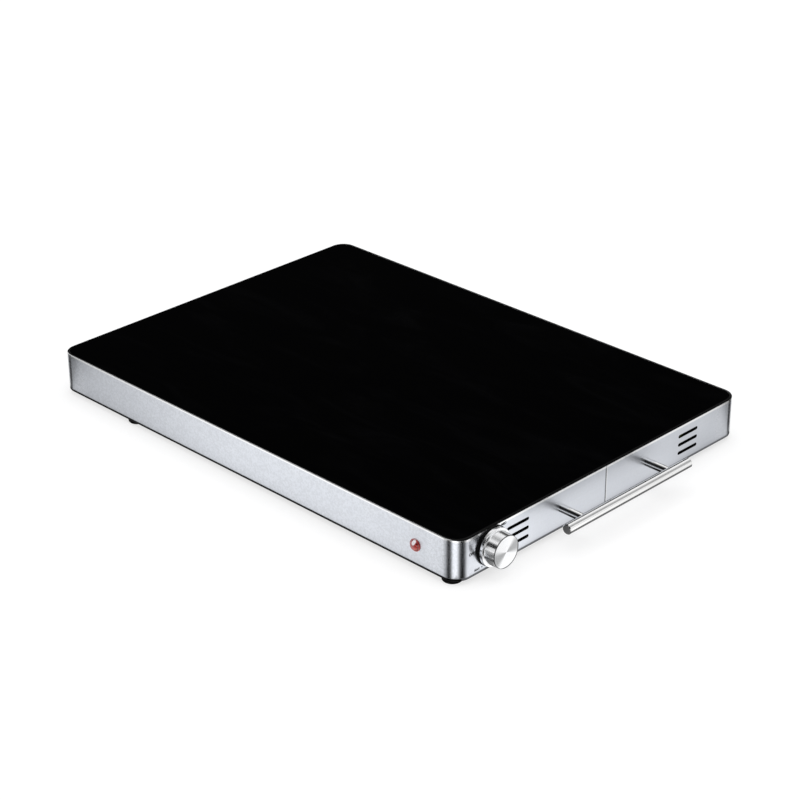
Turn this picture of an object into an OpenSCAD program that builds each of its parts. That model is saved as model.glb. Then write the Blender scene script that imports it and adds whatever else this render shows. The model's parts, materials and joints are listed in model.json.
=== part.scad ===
// Electric food warmer tray: a black glass top in a brushed steel band, with a
// rotary thermostat, a pilot lamp, one bar handle, and the heater below the glass.
// +X is the control and handle end, -Y is the long side with the lamp, Z = 0 is the floor.

/* [Tray] */
// Length of the tray body without the handle
tray_l = 610; // [500:1:760]
// Width of the tray body
tray_w = 440; // [360:1:560]
// Height of the rim above the floor
tray_h = 51; // [48:0.5:70]
// Outer radius of the upright corners
corner_r = 17.5; // [14:0.5:26]

/* [Steel band] */
// Sheet thickness of the band
band_t = 0.8; // [0.6:0.1:1.2]
// Width of the rolled lip round the glass
lip_w = 2; // [1.8:0.1:4]
// Outer radius of the rolled lip
lip_r = 1.5; // [1:0.1:1.8]
// Height of the lip's return leg beside the glass
lip_drop = 4.5; // [3:0.1:5]
// Width of the flange turned in at the bottom
flange_w = 16; // [14:0.5:18]
// Radius of the flange's inner corners
flange_corner_r = 4; // [2:0.5:8]
// Width of the butt joint in the middle of the control end
seam_gap = 0.6; // [0.2:0.1:0.8]
// Width of the plate that backs the butt joint
seam_plate_w = 30; // [20:1:40]

/* [Vent slots] */
// Length of a vent slot
slot_l = 31.2; // [20:0.1:40]
// Height of a vent slot
slot_h = 3; // [2:0.1:4]
// Rows in each group
slot_rows = 3; // [1:1:3]
// Spacing of the rows
slot_pitch = 9.8; // [8:0.1:11]
// Distance of a group's middle from the long side
slot_side = 86.6; // [80:0.1:100]
// Depth of the top row below the rim
slot_drop = 13.3; // [12:0.1:16]

/* [Glass] */
// Thickness of the glass
glass_t = 5; // [4:0.5:6]
// Depth of the glass below the rim
glass_drop = 0.2; // [0:0.1:0.5]
// Bevel round the glass
glass_bevel = 0.6; // [0.3:0.1:1]
// Thickness of the silicone beside the glass
seal_side = 0.5; // [0.3:0.1:1]
// Thickness of the silicone under the glass
seal_t = 1; // [0.6:0.1:1.6]
// Width of the silicone under the glass
seal_w = 10; // [6:0.5:12]

/* [Ledge] */
// Sheet thickness of the ledge that carries the glass
ledge_t = 1; // [0.8:0.1:1.5]
// Distance of the ledge's inner edge from the outside of the band
ledge_w = 16; // [14:0.5:20]
// Height of the ledge's leg on the band
ledge_leg = 3; // [2:0.1:3.5]

/* [Heat spreader] */
// Thickness of the aluminium heat spreader
spreader_t = 2; // [1.5:0.1:3]
// Gap between the spreader and the ledge
spreader_gap = 2; // [1:0.5:5]
// Corner radius of the spreader
spreader_r = 10; // [5:1:20]
// Thickness of the clips that hold the spreader up
clip_t = 1.2; // [1:0.1:1.6]
// Width of a clip
clip_w = 20; // [14:1:30]
// Reach of a clip onto the ledge and onto the spreader
clip_reach = 10; // [8:0.5:12]
// Spacing of the clips on a long side
clip_pitch = 190; // [120:1:220]

/* [Heating element] */
// Diameter of the heating element's sheath
tube_d = 6.5; // [6:0.1:8.5]
// Straight runs of the element, an even number
passes = 8; // [6:2:10]
// Distance from the band's long sides to the outer runs
element_side_gap = 62.5; // [55:0.5:75]
// Distance from the band's short ends to the bends
element_end_gap = 62; // [58:1:90]
// Length of a terminal pin
pin_l = 16; // [12:1:20]
// Diameter of a terminal pin
pin_d = 3; // [2.4:0.1:3.5]

/* [Element straps] */
// Sheet thickness of a strap
strap_t = 1; // [0.8:0.1:1.2]
// Width of a strap
strap_w = 16; // [12:1:24]
// Play between a strap and the sheath
strap_play = 0.15; // [0.1:0.05:0.3]
// Spacing of the straps
strap_pitch = 150; // [100:1:160]
// Reach of a strap past the outer runs
strap_tail = 14; // [10:1:20]
// Diameter of the studs that hold the straps
stud_d = 4; // [3:0.5:5]
// Width across the flats of the stud nuts
nut_af = 7; // [6:0.5:8]
// Height of the stud nuts
nut_h = 3.2; // [2.5:0.1:4]

/* [Insulation] */
// Thickness of the insulation mat
mat_t = 11; // [8:0.5:13]
// Reach of the mat past the element
mat_margin = 8; // [4:0.5:12]
// Sheet thickness of the heat shield
shield_t = 0.6; // [0.5:0.1:1]
// Height of the heat shield's edge
shield_rim = 8; // [5:0.5:10]
// Spacing of the posts along the tray
post_pitch_x = 180; // [140:1:200]
// Distance of the posts from the middle line
post_y = 118; // [90:1:130]
// Width across the flats of a post
post_af = 7; // [6:0.5:9]

/* [Base pan] */
// Sheet thickness of the base pan
pan_t = 0.8; // [0.6:0.1:1.2]
// Distance of the pan's edge inside the band
pan_inset = 0.6; // [0.4:0.1:1.5]
// Depth of the stiffening beads
bead_h = 2.5; // [1.5:0.1:4]
// Width of a stiffening bead
bead_w = 12; // [8:0.5:16]
// Distance of the beads from the pan's long edges and ends
bead_end = 60; // [50:1:80]
// Distance of the long beads from the middle line
bead_y = 62; // [50:1:80]
// Length of a vent slot in the pan
pan_slot_l = 46; // [30:1:60]
// Width of a vent slot in the pan
pan_slot_w = 4; // [3:0.5:5]
// Vent slots in a row
pan_slots = 9; // [5:2:13]
// Spacing of the vent slots in the pan
pan_slot_pitch = 12; // [9:0.5:14]
// Distance of the vent fields from the middle
pan_vent_x = 120; // [90:1:150]

/* [Feet] */
// Height of a foot
foot_h = 5; // [4:0.5:8]
// Diameter of a foot where it meets the pan
foot_d = 22; // [18:0.5:24]
// Distance of the feet from the long sides of the band
foot_side = 12; // [11.5:0.5:13]
// Distance of the control end's feet from the end of the band
foot_end = 17; // [14:0.5:30]
// Distance of the other feet from the far end of the band
foot_far = 117; // [60:1:140]
// Diameter of the recess for the screw head
foot_recess_d = 9; // [8:0.5:11]

/* [Handle] */
// Diameter of the handle bar
bar_d = 11; // [9:0.5:14]
// Length of the handle bar
bar_l = 192; // [160:1:220]
// Gap between the band and the bar
bar_gap = 26; // [24:0.5:36]
// Depth of the bar's axis below the rim
bar_drop = 22.5; // [18:0.5:24]
// Edge chamfer of the bar
bar_chamfer = 0.8; // [0.4:0.1:1.2]
// Diameter of a handle post
handle_post_d = 9; // [8:0.5:10]
// Distance of the handle's middle from the seam
handle_y = -1.5; // [-10:0.5:10]
// Distance of the posts from the handle's middle
handle_post_y = 67; // [50:0.5:80]
// Diameter of the post's spigot in the bar
spigot_d = 6; // [5:0.5:6]
// Depth of the spigot in the bar
spigot_l = 6; // [4:0.5:8]
// Diameter of the handle screws
handle_screw_d = 5; // [4:0.5:5]
// Depth of the screw in the post
handle_screw_l = 14; // [8:1:20]

/* [Knob] */
// Distance of the knob's axis from the long side
knob_side = 48.8; // [42:0.1:55]
// Depth of the knob's axis below the rim
knob_drop = 21.6; // [21:0.1:24]
// Diameter of the knob's skirt
skirt_d = 41; // [36:0.5:42]
// Diameter of the knob's grip
grip_d = 35.6; // [30:0.1:36]
// Diameter of the grip at the front
grip_front_d = 34.8; // [29:0.1:35.6]
// Distance of the knob's front from the band
knob_front = 19.3; // [16:0.1:24]
// Distance of the skirt's back from the band
knob_back = 2.9; // [2.6:0.1:4]
// Depth of the skirt
skirt_t = 3.6; // [3:0.1:5]
// Chamfer round the knob's front
knob_chamfer = 0.6; // [0.3:0.1:1]
// Wall of the knob's metal shell
knob_wall = 2; // [1.2:0.1:3]
// Diameter of the black ring behind the knob
ring_d = 42; // [38:0.5:42]
// Thickness of the black ring
ring_t = 2.2; // [0.8:0.1:2.4]
// Turn of the knob from off to the hottest setting
knob_turn = 300; // [240:5:300]

/* [Thermostat] */
// Width of the thermostat's body
stat_w = 38; // [34:1:44]
// Height of the thermostat's body
stat_h = 24; // [20:0.5:24]
// Depth of the thermostat's body
stat_depth = 26; // [20:1:32]
// Thickness of the thermostat's front plate
stat_plate_t = 1.2; // [1:0.1:2]
// Diameter of the thermostat's shaft
shaft_d = 6; // [5:0.5:7]
// Depth of the flat on the shaft
shaft_flat = 1.4; // [1:0.1:1.8]
// Spacing of the thermostat's two screws
stat_screw_pitch = 24; // [22:1:25]
// Diameter of the sensor bulb
bulb_d = 6; // [5:0.5:6.5]
// Length of the sensor bulb
bulb_l = 62; // [40:1:80]
// Diameter of the capillary tube
capillary_d = 2; // [1.5:0.1:2.5]

/* [Pilot lamp] */
// Distance of the lamp from the control end
lamp_end = 55; // [45:1:65]
// Depth of the lamp's axis below the rim
lamp_drop = 23.5; // [18:0.5:26]
// Diameter of the red lens
lens_d = 13.4; // [12:0.1:16]
// Height of the red lens
lens_h = 4.4; // [3:0.1:6]
// Diameter of the lamp's barrel
barrel_d = 10; // [8:0.5:11]
// Length of the lamp's barrel behind the band
barrel_l = 24; // [16:1:28]

/* [Power inlet] */
// Distance of the inlet from the control end
inlet_end = 75; // [60:1:100]
// Height of the inlet's middle above the floor
inlet_z = 27; // [22:0.5:30]
// Width of the inlet's flange
inlet_flange_w = 50; // [48:0.5:54]
// Height of the inlet's flange
inlet_flange_h = 24; // [23:0.5:28]
// Thickness of the inlet's flange
inlet_flange_t = 2.5; // [2:0.1:3]
// Spacing of the inlet's screws
inlet_screw_pitch = 40; // [38:0.5:42]
// Width of the socket
socket_w = 24.2; // [23:0.1:25]
// Height of the socket
socket_h = 16.2; // [15:0.1:17]
// Depth of the socket
socket_depth = 17; // [14:0.5:18]
// Wall of the socket
socket_wall = 1.5; // [1:0.1:2]

/* [Wiring] */
// Diameter of the internal leads
lead_d = 2.6; // [2:0.1:3]
// Diameter of the lamp's leads
lamp_lead_d = 1.8; // [1.4:0.1:2.2]
// Height of the leads that lie over the base pan
lead_z = 14; // [13:0.5:16]
// Distance of the terminal block from the far long side
block_side = 145; // [130:1:160]
// Distance of the earth stud from the far long side
earth_side = 70; // [60:1:80]

/* [Clearances] */
// Clearance of a screw or a barrel in its hole
hole_play = 0.4; // [0.2:0.1:0.6]
// Clearance of a screw in its thread
thread_play = 0.05; // [0.02:0.01:0.1]
// Radial clearance of the shaft in the thermostat
shaft_play = 0.05; // [0.03:0.01:0.1]

/* [Hidden] */
$fn = 96;

// The frame's origin lies under the middle of the whole object, handle included.
handle_reach = bar_gap + bar_d;
frame_x = -handle_reach / 2;

// Heights, from the floor up
pan_z = foot_h;
band_z = pan_z + pan_t;
flange_top = band_z + band_t;
glass_top_z = tray_h - glass_drop;
glass_z = glass_top_z - glass_t;
ledge_top = glass_z - seal_t;
ledge_z = ledge_top - ledge_t;
leg_z = ledge_top - ledge_leg;
spreader_z = glass_z - spreader_t;
tube_r = tube_d / 2;
tube_z = spreader_z - tube_r;
saddle_r = tube_r + strap_play;
strap_z = tube_z - saddle_r - strap_t;
mat_gap = 0.15;
mat_top = strap_z - mat_gap;
mat_z = mat_top - mat_t;
shield_z = mat_z - shield_t;

// Places in plan
end_x = tray_l / 2;
side_y = tray_w / 2;
glass_inset = lip_w + seal_side;
glass_r = corner_r - glass_inset;
// The runs' spacing keeps to steps of 0.2 mm, so that runs and bends meet without rounding.
pitch_step = 0.2;
pass_room = (tray_w - 2 * element_side_gap) / (passes - 1);
pass_pitch = pitch_step * round(pass_room / pitch_step);
first_pass = -pass_pitch * (passes - 1) / 2;
bend_r = pass_pitch / 2;
bend_x = end_x - element_end_gap - tube_r - bend_r;
tail_x = bend_x + bend_r - 2;
mat_l = 2 * (bend_x + bend_r + tube_r + mat_margin);
mat_w = 2 * (-first_pass + tube_r + mat_margin);
mat_r = 14;
sheet_gap = 0.2;
strap_x = [for (i = [-1:1]) i * strap_pitch];
stud_y = [for (i = [-1:1]) i * 2 * pass_pitch];
post_x = [for (i = [-1:1]) i * post_pitch_x];
foot_x = [end_x - foot_end, -end_x + foot_far];
foot_y = side_y - foot_side;

// Controls and handle
knob_y = side_y - knob_side;
knob_z = tray_h - knob_drop;
slot_y = side_y - slot_side;
bar_z = tray_h - bar_drop;
bar_x = end_x + bar_gap + bar_d / 2;
lamp_x = end_x - lamp_end;
lamp_z = tray_h - lamp_drop;
inlet_x = end_x - inlet_end;
stat_x = end_x - band_t - stat_plate_t;
stat_back_x = stat_x - stat_depth;

// Fasteners
base_screw_d = 3;
base_head_d = 6.6;
base_head_h = 1.9;
base_screw_l = 5;
base_screw_inset = 7;
base_screw_end = 49;
base_screw_side = 114;
base_long_screws = 4;
m3_d = 3;
m3_head_d = 5.6;
m3_head_h = 2;
m4_d = 4;
m4_head_d = 7.4;
m4_head_h = 1.6;
foot_screw_d = 4;
foot_head_d = 7.5;
foot_head_h = 2;
foot_seat_t = 1.6;
recess_w = 0.9;
recess_depth = 1;
eps = 0.01;

// Sits a piece in the shared frame.
module placed() {
    translate([frame_x, 0, 0]) children();
}

// Stands a piece on the control end, with its Z pointing out of the tray.
module on_end(y, z, out = 0) {
    translate([end_x + out, y, z]) rotate([0, 90, 0]) children();
}

// Stands a piece on the lamp's long side, with its Z pointing out of the tray.
module on_front(x, z, out = 0) {
    translate([x, -side_y - out, z]) rotate([90, 0, 0]) children();
}

// Stands a piece on the far long side, with its Z pointing out of the tray.
module on_back(x, z, out = 0) {
    translate([x, side_y + out, z]) rotate([-90, 0, 0]) children();
}

// A rectangle with round corners.
module rounded_rect(l, w, r) {
    square([l, w - 2 * r], center = true);
    square([l - 2 * r, w], center = true);
    for (sx = [-1, 1], sy = [-1, 1]) {
        translate([sx * (l / 2 - r), sy * (w / 2 - r)]) circle(r);
    }
}

// A plate with round corners, standing on z.
module plate(l, w, r, z, h) {
    translate([0, 0, z]) linear_extrude(h) rounded_rect(l, w, r);
}

// A rectangular ring with round corners, standing on z.
module frame_ring(l, w, r, border, inner_r, z, h) {
    difference() {
        plate(l, w, r, z, h);
        plate(l - 2 * border, w - 2 * border, inner_r, z - 1, h + 2);
    }
}

// Sweeps a profile round a rectangle; the profile's x runs outwards from the corner's centre.
module sweep_round(l, w, r) {
    for (k = [0:3]) {
        hx = k % 2 == 0 ? l / 2 : w / 2;
        hy = k % 2 == 0 ? w / 2 : l / 2;
        rotate([0, 0, 90 * k]) translate([hx - r, hy - r, 0]) {
            rotate_extrude(angle = 90) children();
            rotate([90, 0, 0]) linear_extrude(2 * (hy - r)) children();
        }
    }
}

// A slot with round ends, along X, cut downwards through h.
module slot(l, w, h) {
    translate([-(l - w) / 2, -w / 2, 0]) cube([l - w, w, h]);
    for (s = [-1, 1]) {
        translate([s * (l - w) / 2, 0, 0]) cylinder(d = w, h = h);
    }
}

// A screw with its head below z = 0 and its shank above, with a cross recess in the head.
module pan_screw(d, l, head_d, head_h) {
    difference() {
        union() {
            translate([0, 0, -head_h]) cylinder(d1 = head_d - head_h, d2 = head_d, h = head_h / 2);
            translate([0, 0, -head_h / 2]) cylinder(d = head_d, h = head_h / 2);
            cylinder(d = d, h = l);
        }
        for (a = [0, 90]) {
            rotate([0, 0, a]) translate([-head_d / 4, -recess_w / 2, -head_h - 1]) {
                cube([head_d / 2, recess_w, 1 + recess_depth]);
            }
        }
    }
}

// A hexagonal nut or post standing on z = 0.
module hex_prism(af, h, hole_d) {
    difference() {
        cylinder(d = af / cos(30), h = h, $fn = 6);
        translate([0, 0, -1]) cylinder(d = hole_d, h = h + 2);
    }
}

// Places of the screws round the base pan.
module at_base_screws() {
    pitch = (tray_l - 2 * base_screw_end) / (base_long_screws - 1);
    for (i = [0:base_long_screws - 1], s = [-1, 1]) {
        translate([-end_x + base_screw_end + i * pitch, s * (side_y - base_screw_inset), 0]) {
            children();
        }
    }
    for (s = [-1, 1], t = [-1, 1]) {
        translate([s * (end_x - base_screw_inset), t * (side_y - base_screw_side), 0]) children();
    }
}

// Places of the four feet.
module at_feet() {
    for (x = foot_x, s = [-1, 1]) {
        translate([x, s * foot_y, 0]) children();
    }
}

// Places of the posts between the base pan and the heat shield.
module at_posts() {
    for (x = post_x, s = [-1, 1]) {
        translate([x, s * post_y, 0]) children();
    }
}

// Places of the studs under the heat spreader.
module at_studs() {
    for (x = strap_x, y = stud_y) {
        translate([x, y, 0]) children();
    }
}

// ---------- Steel band ----------

// Section of the rolled lip; x runs outwards from the corner's centre.
module lip_profile() {
    bend_z = tray_h - lip_r;
    translate([corner_r - lip_r, bend_z]) intersection() {
        difference() {
            circle(lip_r);
            circle(lip_r - band_t);
        }
        square(lip_r);
    }
    translate([corner_r - lip_w, tray_h - band_t]) square([lip_w - lip_r, band_t]);
    translate([corner_r - lip_w, tray_h - lip_drop]) square([band_t, lip_drop]);
}

// One group of vent slots on the control end.
module vent_group(y) {
    for (i = [0:slot_rows - 1]) {
        on_end(y, tray_h - slot_drop - i * slot_pitch, -band_t - 1) {
            rotate([0, 0, 90]) slot(slot_l, slot_h, band_t + 2);
        }
    }
}

// Openings in the band for what is mounted on it.
module band_holes() {
    vent_group(slot_y);
    vent_group(-slot_y);
    for (s = [-1, 1]) {
        on_end(handle_y + s * handle_post_y, bar_z, -2) cylinder(d = handle_screw_d + hole_play, h = 4);
        on_end(-knob_y + s * stat_screw_pitch / 2, knob_z, -2) {
            cylinder(d = m4_d + hole_play, h = 4);
        }
        on_back(inlet_x + s * inlet_screw_pitch / 2, inlet_z, -2) {
            cylinder(d = m3_d + hole_play, h = 4);
        }
    }
    on_end(-knob_y, knob_z, -2) cylinder(d = shaft_d + 4, h = 4);
    on_front(lamp_x, lamp_z, -2) cylinder(d = barrel_d + hole_play, h = 4);
    on_back(inlet_x, inlet_z, -2) {
        linear_extrude(4) socket_outline(socket_wall + hole_play / 2);
    }
}

// The steel strip bent round the tray, rolled over at the top and turned in at the bottom.
module rim_band() {
    color("silver") placed() difference() {
        union() {
            frame_ring(tray_l, tray_w, corner_r, band_t, corner_r - band_t,
                band_z, tray_h - lip_r - band_z);
            frame_ring(tray_l, tray_w, corner_r, flange_w, flange_corner_r, band_z, band_t);
            sweep_round(tray_l, tray_w, corner_r) lip_profile();
        }
        translate([end_x - flange_w - 1, -seam_gap / 2, band_z - 1]) {
            cube([flange_w + 2, seam_gap, tray_h]);
        }
        band_holes();
        at_base_screws() translate([0, 0, band_z - 1]) {
            cylinder(d = base_screw_d + 2 * thread_play, h = band_t + 2);
        }
        at_feet() translate([0, 0, band_z - 1]) {
            cylinder(d = foot_screw_d + hole_play, h = band_t + 2);
        }
    }
}

// The plate spot-welded behind the butt joint.
module seam_plate() {
    color("gainsboro") placed() {
        translate([end_x - 2 * band_t, -seam_plate_w / 2, flange_top + 1]) {
            cube([band_t, seam_plate_w, leg_z - flange_top - 2]);
        }
    }
}

// ---------- Glass ----------

// The angle welded inside the band, which carries the glass.
module support_ledge() {
    color("lightsteelblue") placed() difference() {
        union() {
            frame_ring(tray_l - 2 * band_t, tray_w - 2 * band_t, corner_r - band_t,
                ledge_w - band_t, flange_corner_r, ledge_z, ledge_t);
            frame_ring(tray_l - 2 * band_t, tray_w - 2 * band_t, corner_r - band_t,
                ledge_t, corner_r - band_t - ledge_t, leg_z, ledge_leg);
        }
        at_clips() translate([-clip_reach / 2, 0, ledge_z - 1]) {
            cylinder(d = m3_d + 2 * thread_play, h = ledge_t + 2);
        }
        // Where the thermostat reaches the ledge's leg, the leg is notched for it.
        translate([end_x - band_t - ledge_t - 1, -knob_y - stat_w / 2 - sheet_gap, knob_z]) {
            cube([ledge_t + 2, stat_w + 2 * sheet_gap, stat_h / 2 + sheet_gap]);
        }
    }
}

// Section of the glass; x runs outwards from the corner's centre.
module glass_profile() {
    polygon([
        [0, glass_z],
        [glass_r - glass_bevel / 2, glass_z],
        [glass_r, glass_z + glass_bevel / 2],
        [glass_r, glass_top_z - glass_bevel],
        [glass_r - glass_bevel, glass_top_z],
        [0, glass_top_z]
    ]);
}

// The black glass top.
module glass_top() {
    l = tray_l - 2 * glass_inset;
    w = tray_w - 2 * glass_inset;
    color([0.02, 0.02, 0.02]) placed() union() {
        sweep_round(l, w, glass_r) glass_profile();
        translate([0, 0, glass_z + glass_t / 2]) {
            cube([l - 2 * glass_r, w - 2 * glass_r, glass_t], center = true);
        }
    }
}

// The silicone bed under and beside the glass.
module glass_seal() {
    l = tray_l - 2 * lip_w;
    w = tray_w - 2 * lip_w;
    r = corner_r - lip_w;
    color([0.1, 0.1, 0.1]) placed() union() {
        frame_ring(l, w, r, seal_w, flange_corner_r, ledge_top, seal_t);
        frame_ring(l, w, r, seal_side, glass_r, ledge_top, seal_t + glass_t - glass_bevel);
    }
}

// ---------- Heat spreader ----------

// Places of the clips, each turned so that its X points from the ledge's edge inwards.
module at_clips() {
    edge_x = end_x - ledge_w;
    edge_y = side_y - ledge_w;
    for (s = [-1, 1], i = [-1:1]) {
        translate([i * clip_pitch, s * edge_y, 0]) rotate([0, 0, -90 * s]) children();
    }
    for (s = [-1, 1]) {
        translate([s * edge_x, 0, 0]) rotate([0, 0, s > 0 ? 180 : 0]) children();
    }
}

// The aluminium plate pressed to the underside of the glass.
module heat_spreader() {
    inset = ledge_w + spreader_gap;
    color("lightgrey") placed() {
        plate(tray_l - 2 * inset, tray_w - 2 * inset, spreader_r, spreader_z, spreader_t);
    }
}

// The stepped clips screwed to the ledge, which hold the spreader up.
module spreader_clips() {
    low_z = min(ledge_z, spreader_z) - clip_t;
    color("darkgray") placed() at_clips() difference() {
        union() {
            translate([-clip_reach, -clip_w / 2, ledge_z - clip_t]) {
                cube([clip_reach, clip_w, clip_t]);
            }
            translate([0, -clip_w / 2, spreader_z - clip_t]) {
                cube([spreader_gap + clip_reach, clip_w, clip_t]);
            }
            translate([-clip_t / 2, -clip_w / 2, low_z]) {
                cube([clip_t, clip_w, abs(ledge_z - spreader_z) + clip_t]);
            }
        }
        translate([-clip_reach / 2, 0, low_z - 1]) {
            cylinder(d = m3_d + hole_play, h = 3 * clip_t + 4);
        }
    }
}

// The screws of the clips.
module clip_screws() {
    color("dimgray") placed() at_clips() translate([-clip_reach / 2, 0, ledge_z - clip_t]) {
        pan_screw(m3_d, clip_t + ledge_t, m3_head_d, m3_head_h);
    }
}

// ---------- Heating element ----------

// One straight run of the element.
module pass_run(i) {
    y = first_pass + i * pass_pitch;
    reach = (i == 0 || i == passes - 1) ? tail_x : bend_x;
    translate([-bend_x, y, tube_z]) rotate([0, 90, 0]) cylinder(d = tube_d, h = bend_x + reach);
}

// The bend that joins run i to the next one.
module pass_bend(i) {
    side = i % 2 == 0 ? -1 : 1;
    y = first_pass + (i + 0.5) * pass_pitch;
    translate([side * bend_x, y, tube_z]) rotate([0, 0, side > 0 ? -90 : 90]) {
        rotate_extrude(angle = 180) translate([bend_r, 0]) circle(d = tube_d);
    }
}

// The sheathed element, bent to and fro under the spreader.
module heating_element() {
    color("slategray") placed() union() {
        for (i = [0:passes - 1]) {
            pass_run(i);
        }
        for (i = [0:passes - 2]) {
            pass_bend(i);
        }
    }
}

// The ceramic bushes and pins at the two ends of the element.
module element_terminals() {
    bush_l = 5;
    color("ivory") placed() for (s = [-1, 1]) {
        translate([tail_x, s * first_pass, tube_z]) rotate([0, 90, 0]) {
            cylinder(d = tube_d - 0.6, h = bush_l);
            cylinder(d = pin_d, h = pin_l);
        }
    }
}

// Section of a strap across all the runs.
module strap_profile() {
    half = -first_pass + strap_tail;
    difference() {
        union() {
            translate([-half, spreader_z - strap_t]) square([2 * half, strap_t]);
            for (i = [0:passes - 1]) {
                translate([first_pass + i * pass_pitch, tube_z]) {
                    intersection() {
                        circle(saddle_r + strap_t);
                        translate([-tube_d, -tube_d]) square([2 * tube_d, tube_d + tube_r]);
                    }
                    translate([-saddle_r - strap_t, 0]) {
                        square([2 * (saddle_r + strap_t), tube_r]);
                    }
                }
            }
        }
        for (i = [0:passes - 1]) {
            translate([first_pass + i * pass_pitch, tube_z]) {
                circle(saddle_r);
                translate([-saddle_r, 0]) square([2 * saddle_r, tube_r + 1]);
            }
        }
    }
}

// The saddle straps that clamp the element to the spreader.
module element_straps() {
    color("gray") placed() difference() {
        for (x = strap_x) {
            translate([x - strap_w / 2, 0, 0]) rotate([90, 0, 90]) {
                linear_extrude(strap_w) strap_profile();
            }
        }
        at_studs() translate([0, 0, spreader_z - strap_t - 1]) {
            cylinder(d = stud_d + hole_play, h = strap_t + 2);
        }
    }
}

// The studs welded to the underside of the spreader.
module strap_studs() {
    color("silver") placed() at_studs() translate([0, 0, spreader_z - strap_t - nut_h - 1.2]) {
        cylinder(d = stud_d, h = strap_t + nut_h + 1.2);
    }
}

// The nuts on the studs.
module strap_nuts() {
    color("goldenrod") placed() at_studs() translate([0, 0, spreader_z - strap_t - nut_h]) {
        hex_prism(nut_af, nut_h, stud_d + 2 * thread_play);
    }
}

// ---------- Insulation ----------

// The fibre mat under the element.
module insulation_mat() {
    color("wheat") placed() difference() {
        plate(mat_l, mat_w, mat_r, mat_z, mat_t);
        translate([cutout_x, cutout_y, mat_z - 1]) cylinder(d = 34, h = mat_t + 2);
        at_posts() translate([0, 0, mat_z - 1]) {
            cylinder(d = m3_head_d + 2, h = m3_head_h + 1.5);
        }
    }
}

// The bright tray that holds the mat and throws the heat upwards.
module heat_shield() {
    l = mat_l + 2 * (sheet_gap + shield_t);
    w = mat_w + 2 * (sheet_gap + shield_t);
    r = mat_r + sheet_gap + shield_t;
    color("whitesmoke") placed() difference() {
        plate(l, w, r, shield_z, shield_rim);
        plate(l - 2 * shield_t, w - 2 * shield_t, r - shield_t, mat_z, shield_rim);
        at_posts() translate([0, 0, shield_z - 1]) {
            cylinder(d = m3_d + hole_play, h = shield_t + 2);
        }
        translate([cutout_x, cutout_y, shield_z - 1]) cylinder(d = 26, h = shield_t + 2);
    }
}

// The hexagonal posts between the base pan and the shield.
module shield_posts() {
    color("goldenrod") placed() at_posts() translate([0, 0, band_z]) {
        hex_prism(post_af, shield_z - band_z, m3_d + 2 * thread_play);
    }
}

// The screws in both ends of the posts.
module post_screws() {
    color("dimgray") placed() at_posts() {
        translate([0, 0, pan_z]) pan_screw(m3_d, 5, m3_head_d, m3_head_h);
        translate([0, 0, mat_z]) mirror([0, 0, 1]) {
            pan_screw(m3_d, shield_t + 4, m3_head_d, m3_head_h);
        }
    }
}

// ---------- Base pan ----------

// The outlines of the pan's stiffening beads.
module bead_plan(shrink) {
    long_l = tray_l - 2 * bead_end - 2 * shrink;
    cross_l = 2 * bead_y - 2 * bead_w - 2 * shrink;
    w = bead_w - 2 * shrink;
    for (s = [-1, 1]) {
        translate([0, s * bead_y]) rounded_rect(long_l, w, w / 2 - eps);
        translate([s * (end_x - bead_end - bead_w), 0]) rounded_rect(w, cross_l, w / 2 - eps);
    }
}

// The vent slots in the pan.
module pan_vents() {
    first = -(pan_slots - 1) / 2;
    for (s = [-1, 1], i = [0:pan_slots - 1]) {
        translate([s * pan_vent_x + (first + i) * pan_slot_pitch, 0, pan_z - 1]) {
            rotate([0, 0, 90]) slot(pan_slot_l, pan_slot_w, pan_t + 2);
        }
    }
}

// The steel pan that closes the tray from below.
module base_pan() {
    color("dimgray") placed() difference() {
        union() {
            plate(tray_l - 2 * pan_inset, tray_w - 2 * pan_inset, corner_r - pan_inset,
                pan_z, pan_t);
            translate([0, 0, pan_z]) linear_extrude(pan_t + bead_h) bead_plan(0);
        }
        translate([0, 0, pan_z - 1]) linear_extrude(1 + bead_h) bead_plan(pan_t);
        pan_vents();
        at_base_screws() translate([0, 0, pan_z - 1]) {
            cylinder(d = base_screw_d + hole_play, h = pan_t + 2);
        }
        at_feet() translate([0, 0, pan_z - 1]) {
            cylinder(d = foot_screw_d + hole_play, h = pan_t + 2);
        }
        at_posts() translate([0, 0, pan_z - 1]) cylinder(d = m3_d + hole_play, h = pan_t + 2);
        translate([block_x, block_y, pan_z - 1]) {
            for (s = [-1, 1]) {
                translate([0, s * block_screw_pitch / 2, 0]) {
                    cylinder(d = m3_d + hole_play, h = pan_t + 2);
                }
            }
        }
        translate([earth_x, earth_y, pan_z - 1]) cylinder(d = m4_d + hole_play, h = pan_t + 2);
    }
}

// The screws round the base pan.
module base_screws() {
    color("silver") placed() at_base_screws() translate([0, 0, pan_z]) {
        pan_screw(base_screw_d, base_screw_l, base_head_d, base_head_h);
    }
}

// Half section of a foot.
module foot_profile() {
    r = foot_d / 2;
    hole_r = (foot_screw_d + hole_play) / 2;
    polygon([
        [hole_r, foot_h - foot_seat_t],
        [foot_recess_d / 2, foot_h - foot_seat_t],
        [foot_recess_d / 2, 0.4],
        [foot_recess_d / 2 + 0.4, 0],
        [r - 2, 0],
        [r - 1.1, 0.35],
        [r - 0.6, 1],
        [r, foot_h],
        [hole_r, foot_h]
    ]);
}

// The four rubber feet.
module feet() {
    color([0.08, 0.08, 0.08]) placed() at_feet() rotate_extrude() foot_profile();
}

// The screws of the feet.
module foot_screws() {
    color("silver") placed() at_feet() translate([0, 0, foot_h - foot_seat_t]) {
        pan_screw(foot_screw_d, foot_seat_t + pan_t + band_t + nut_h + 1, foot_head_d, foot_head_h);
    }
}

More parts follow.
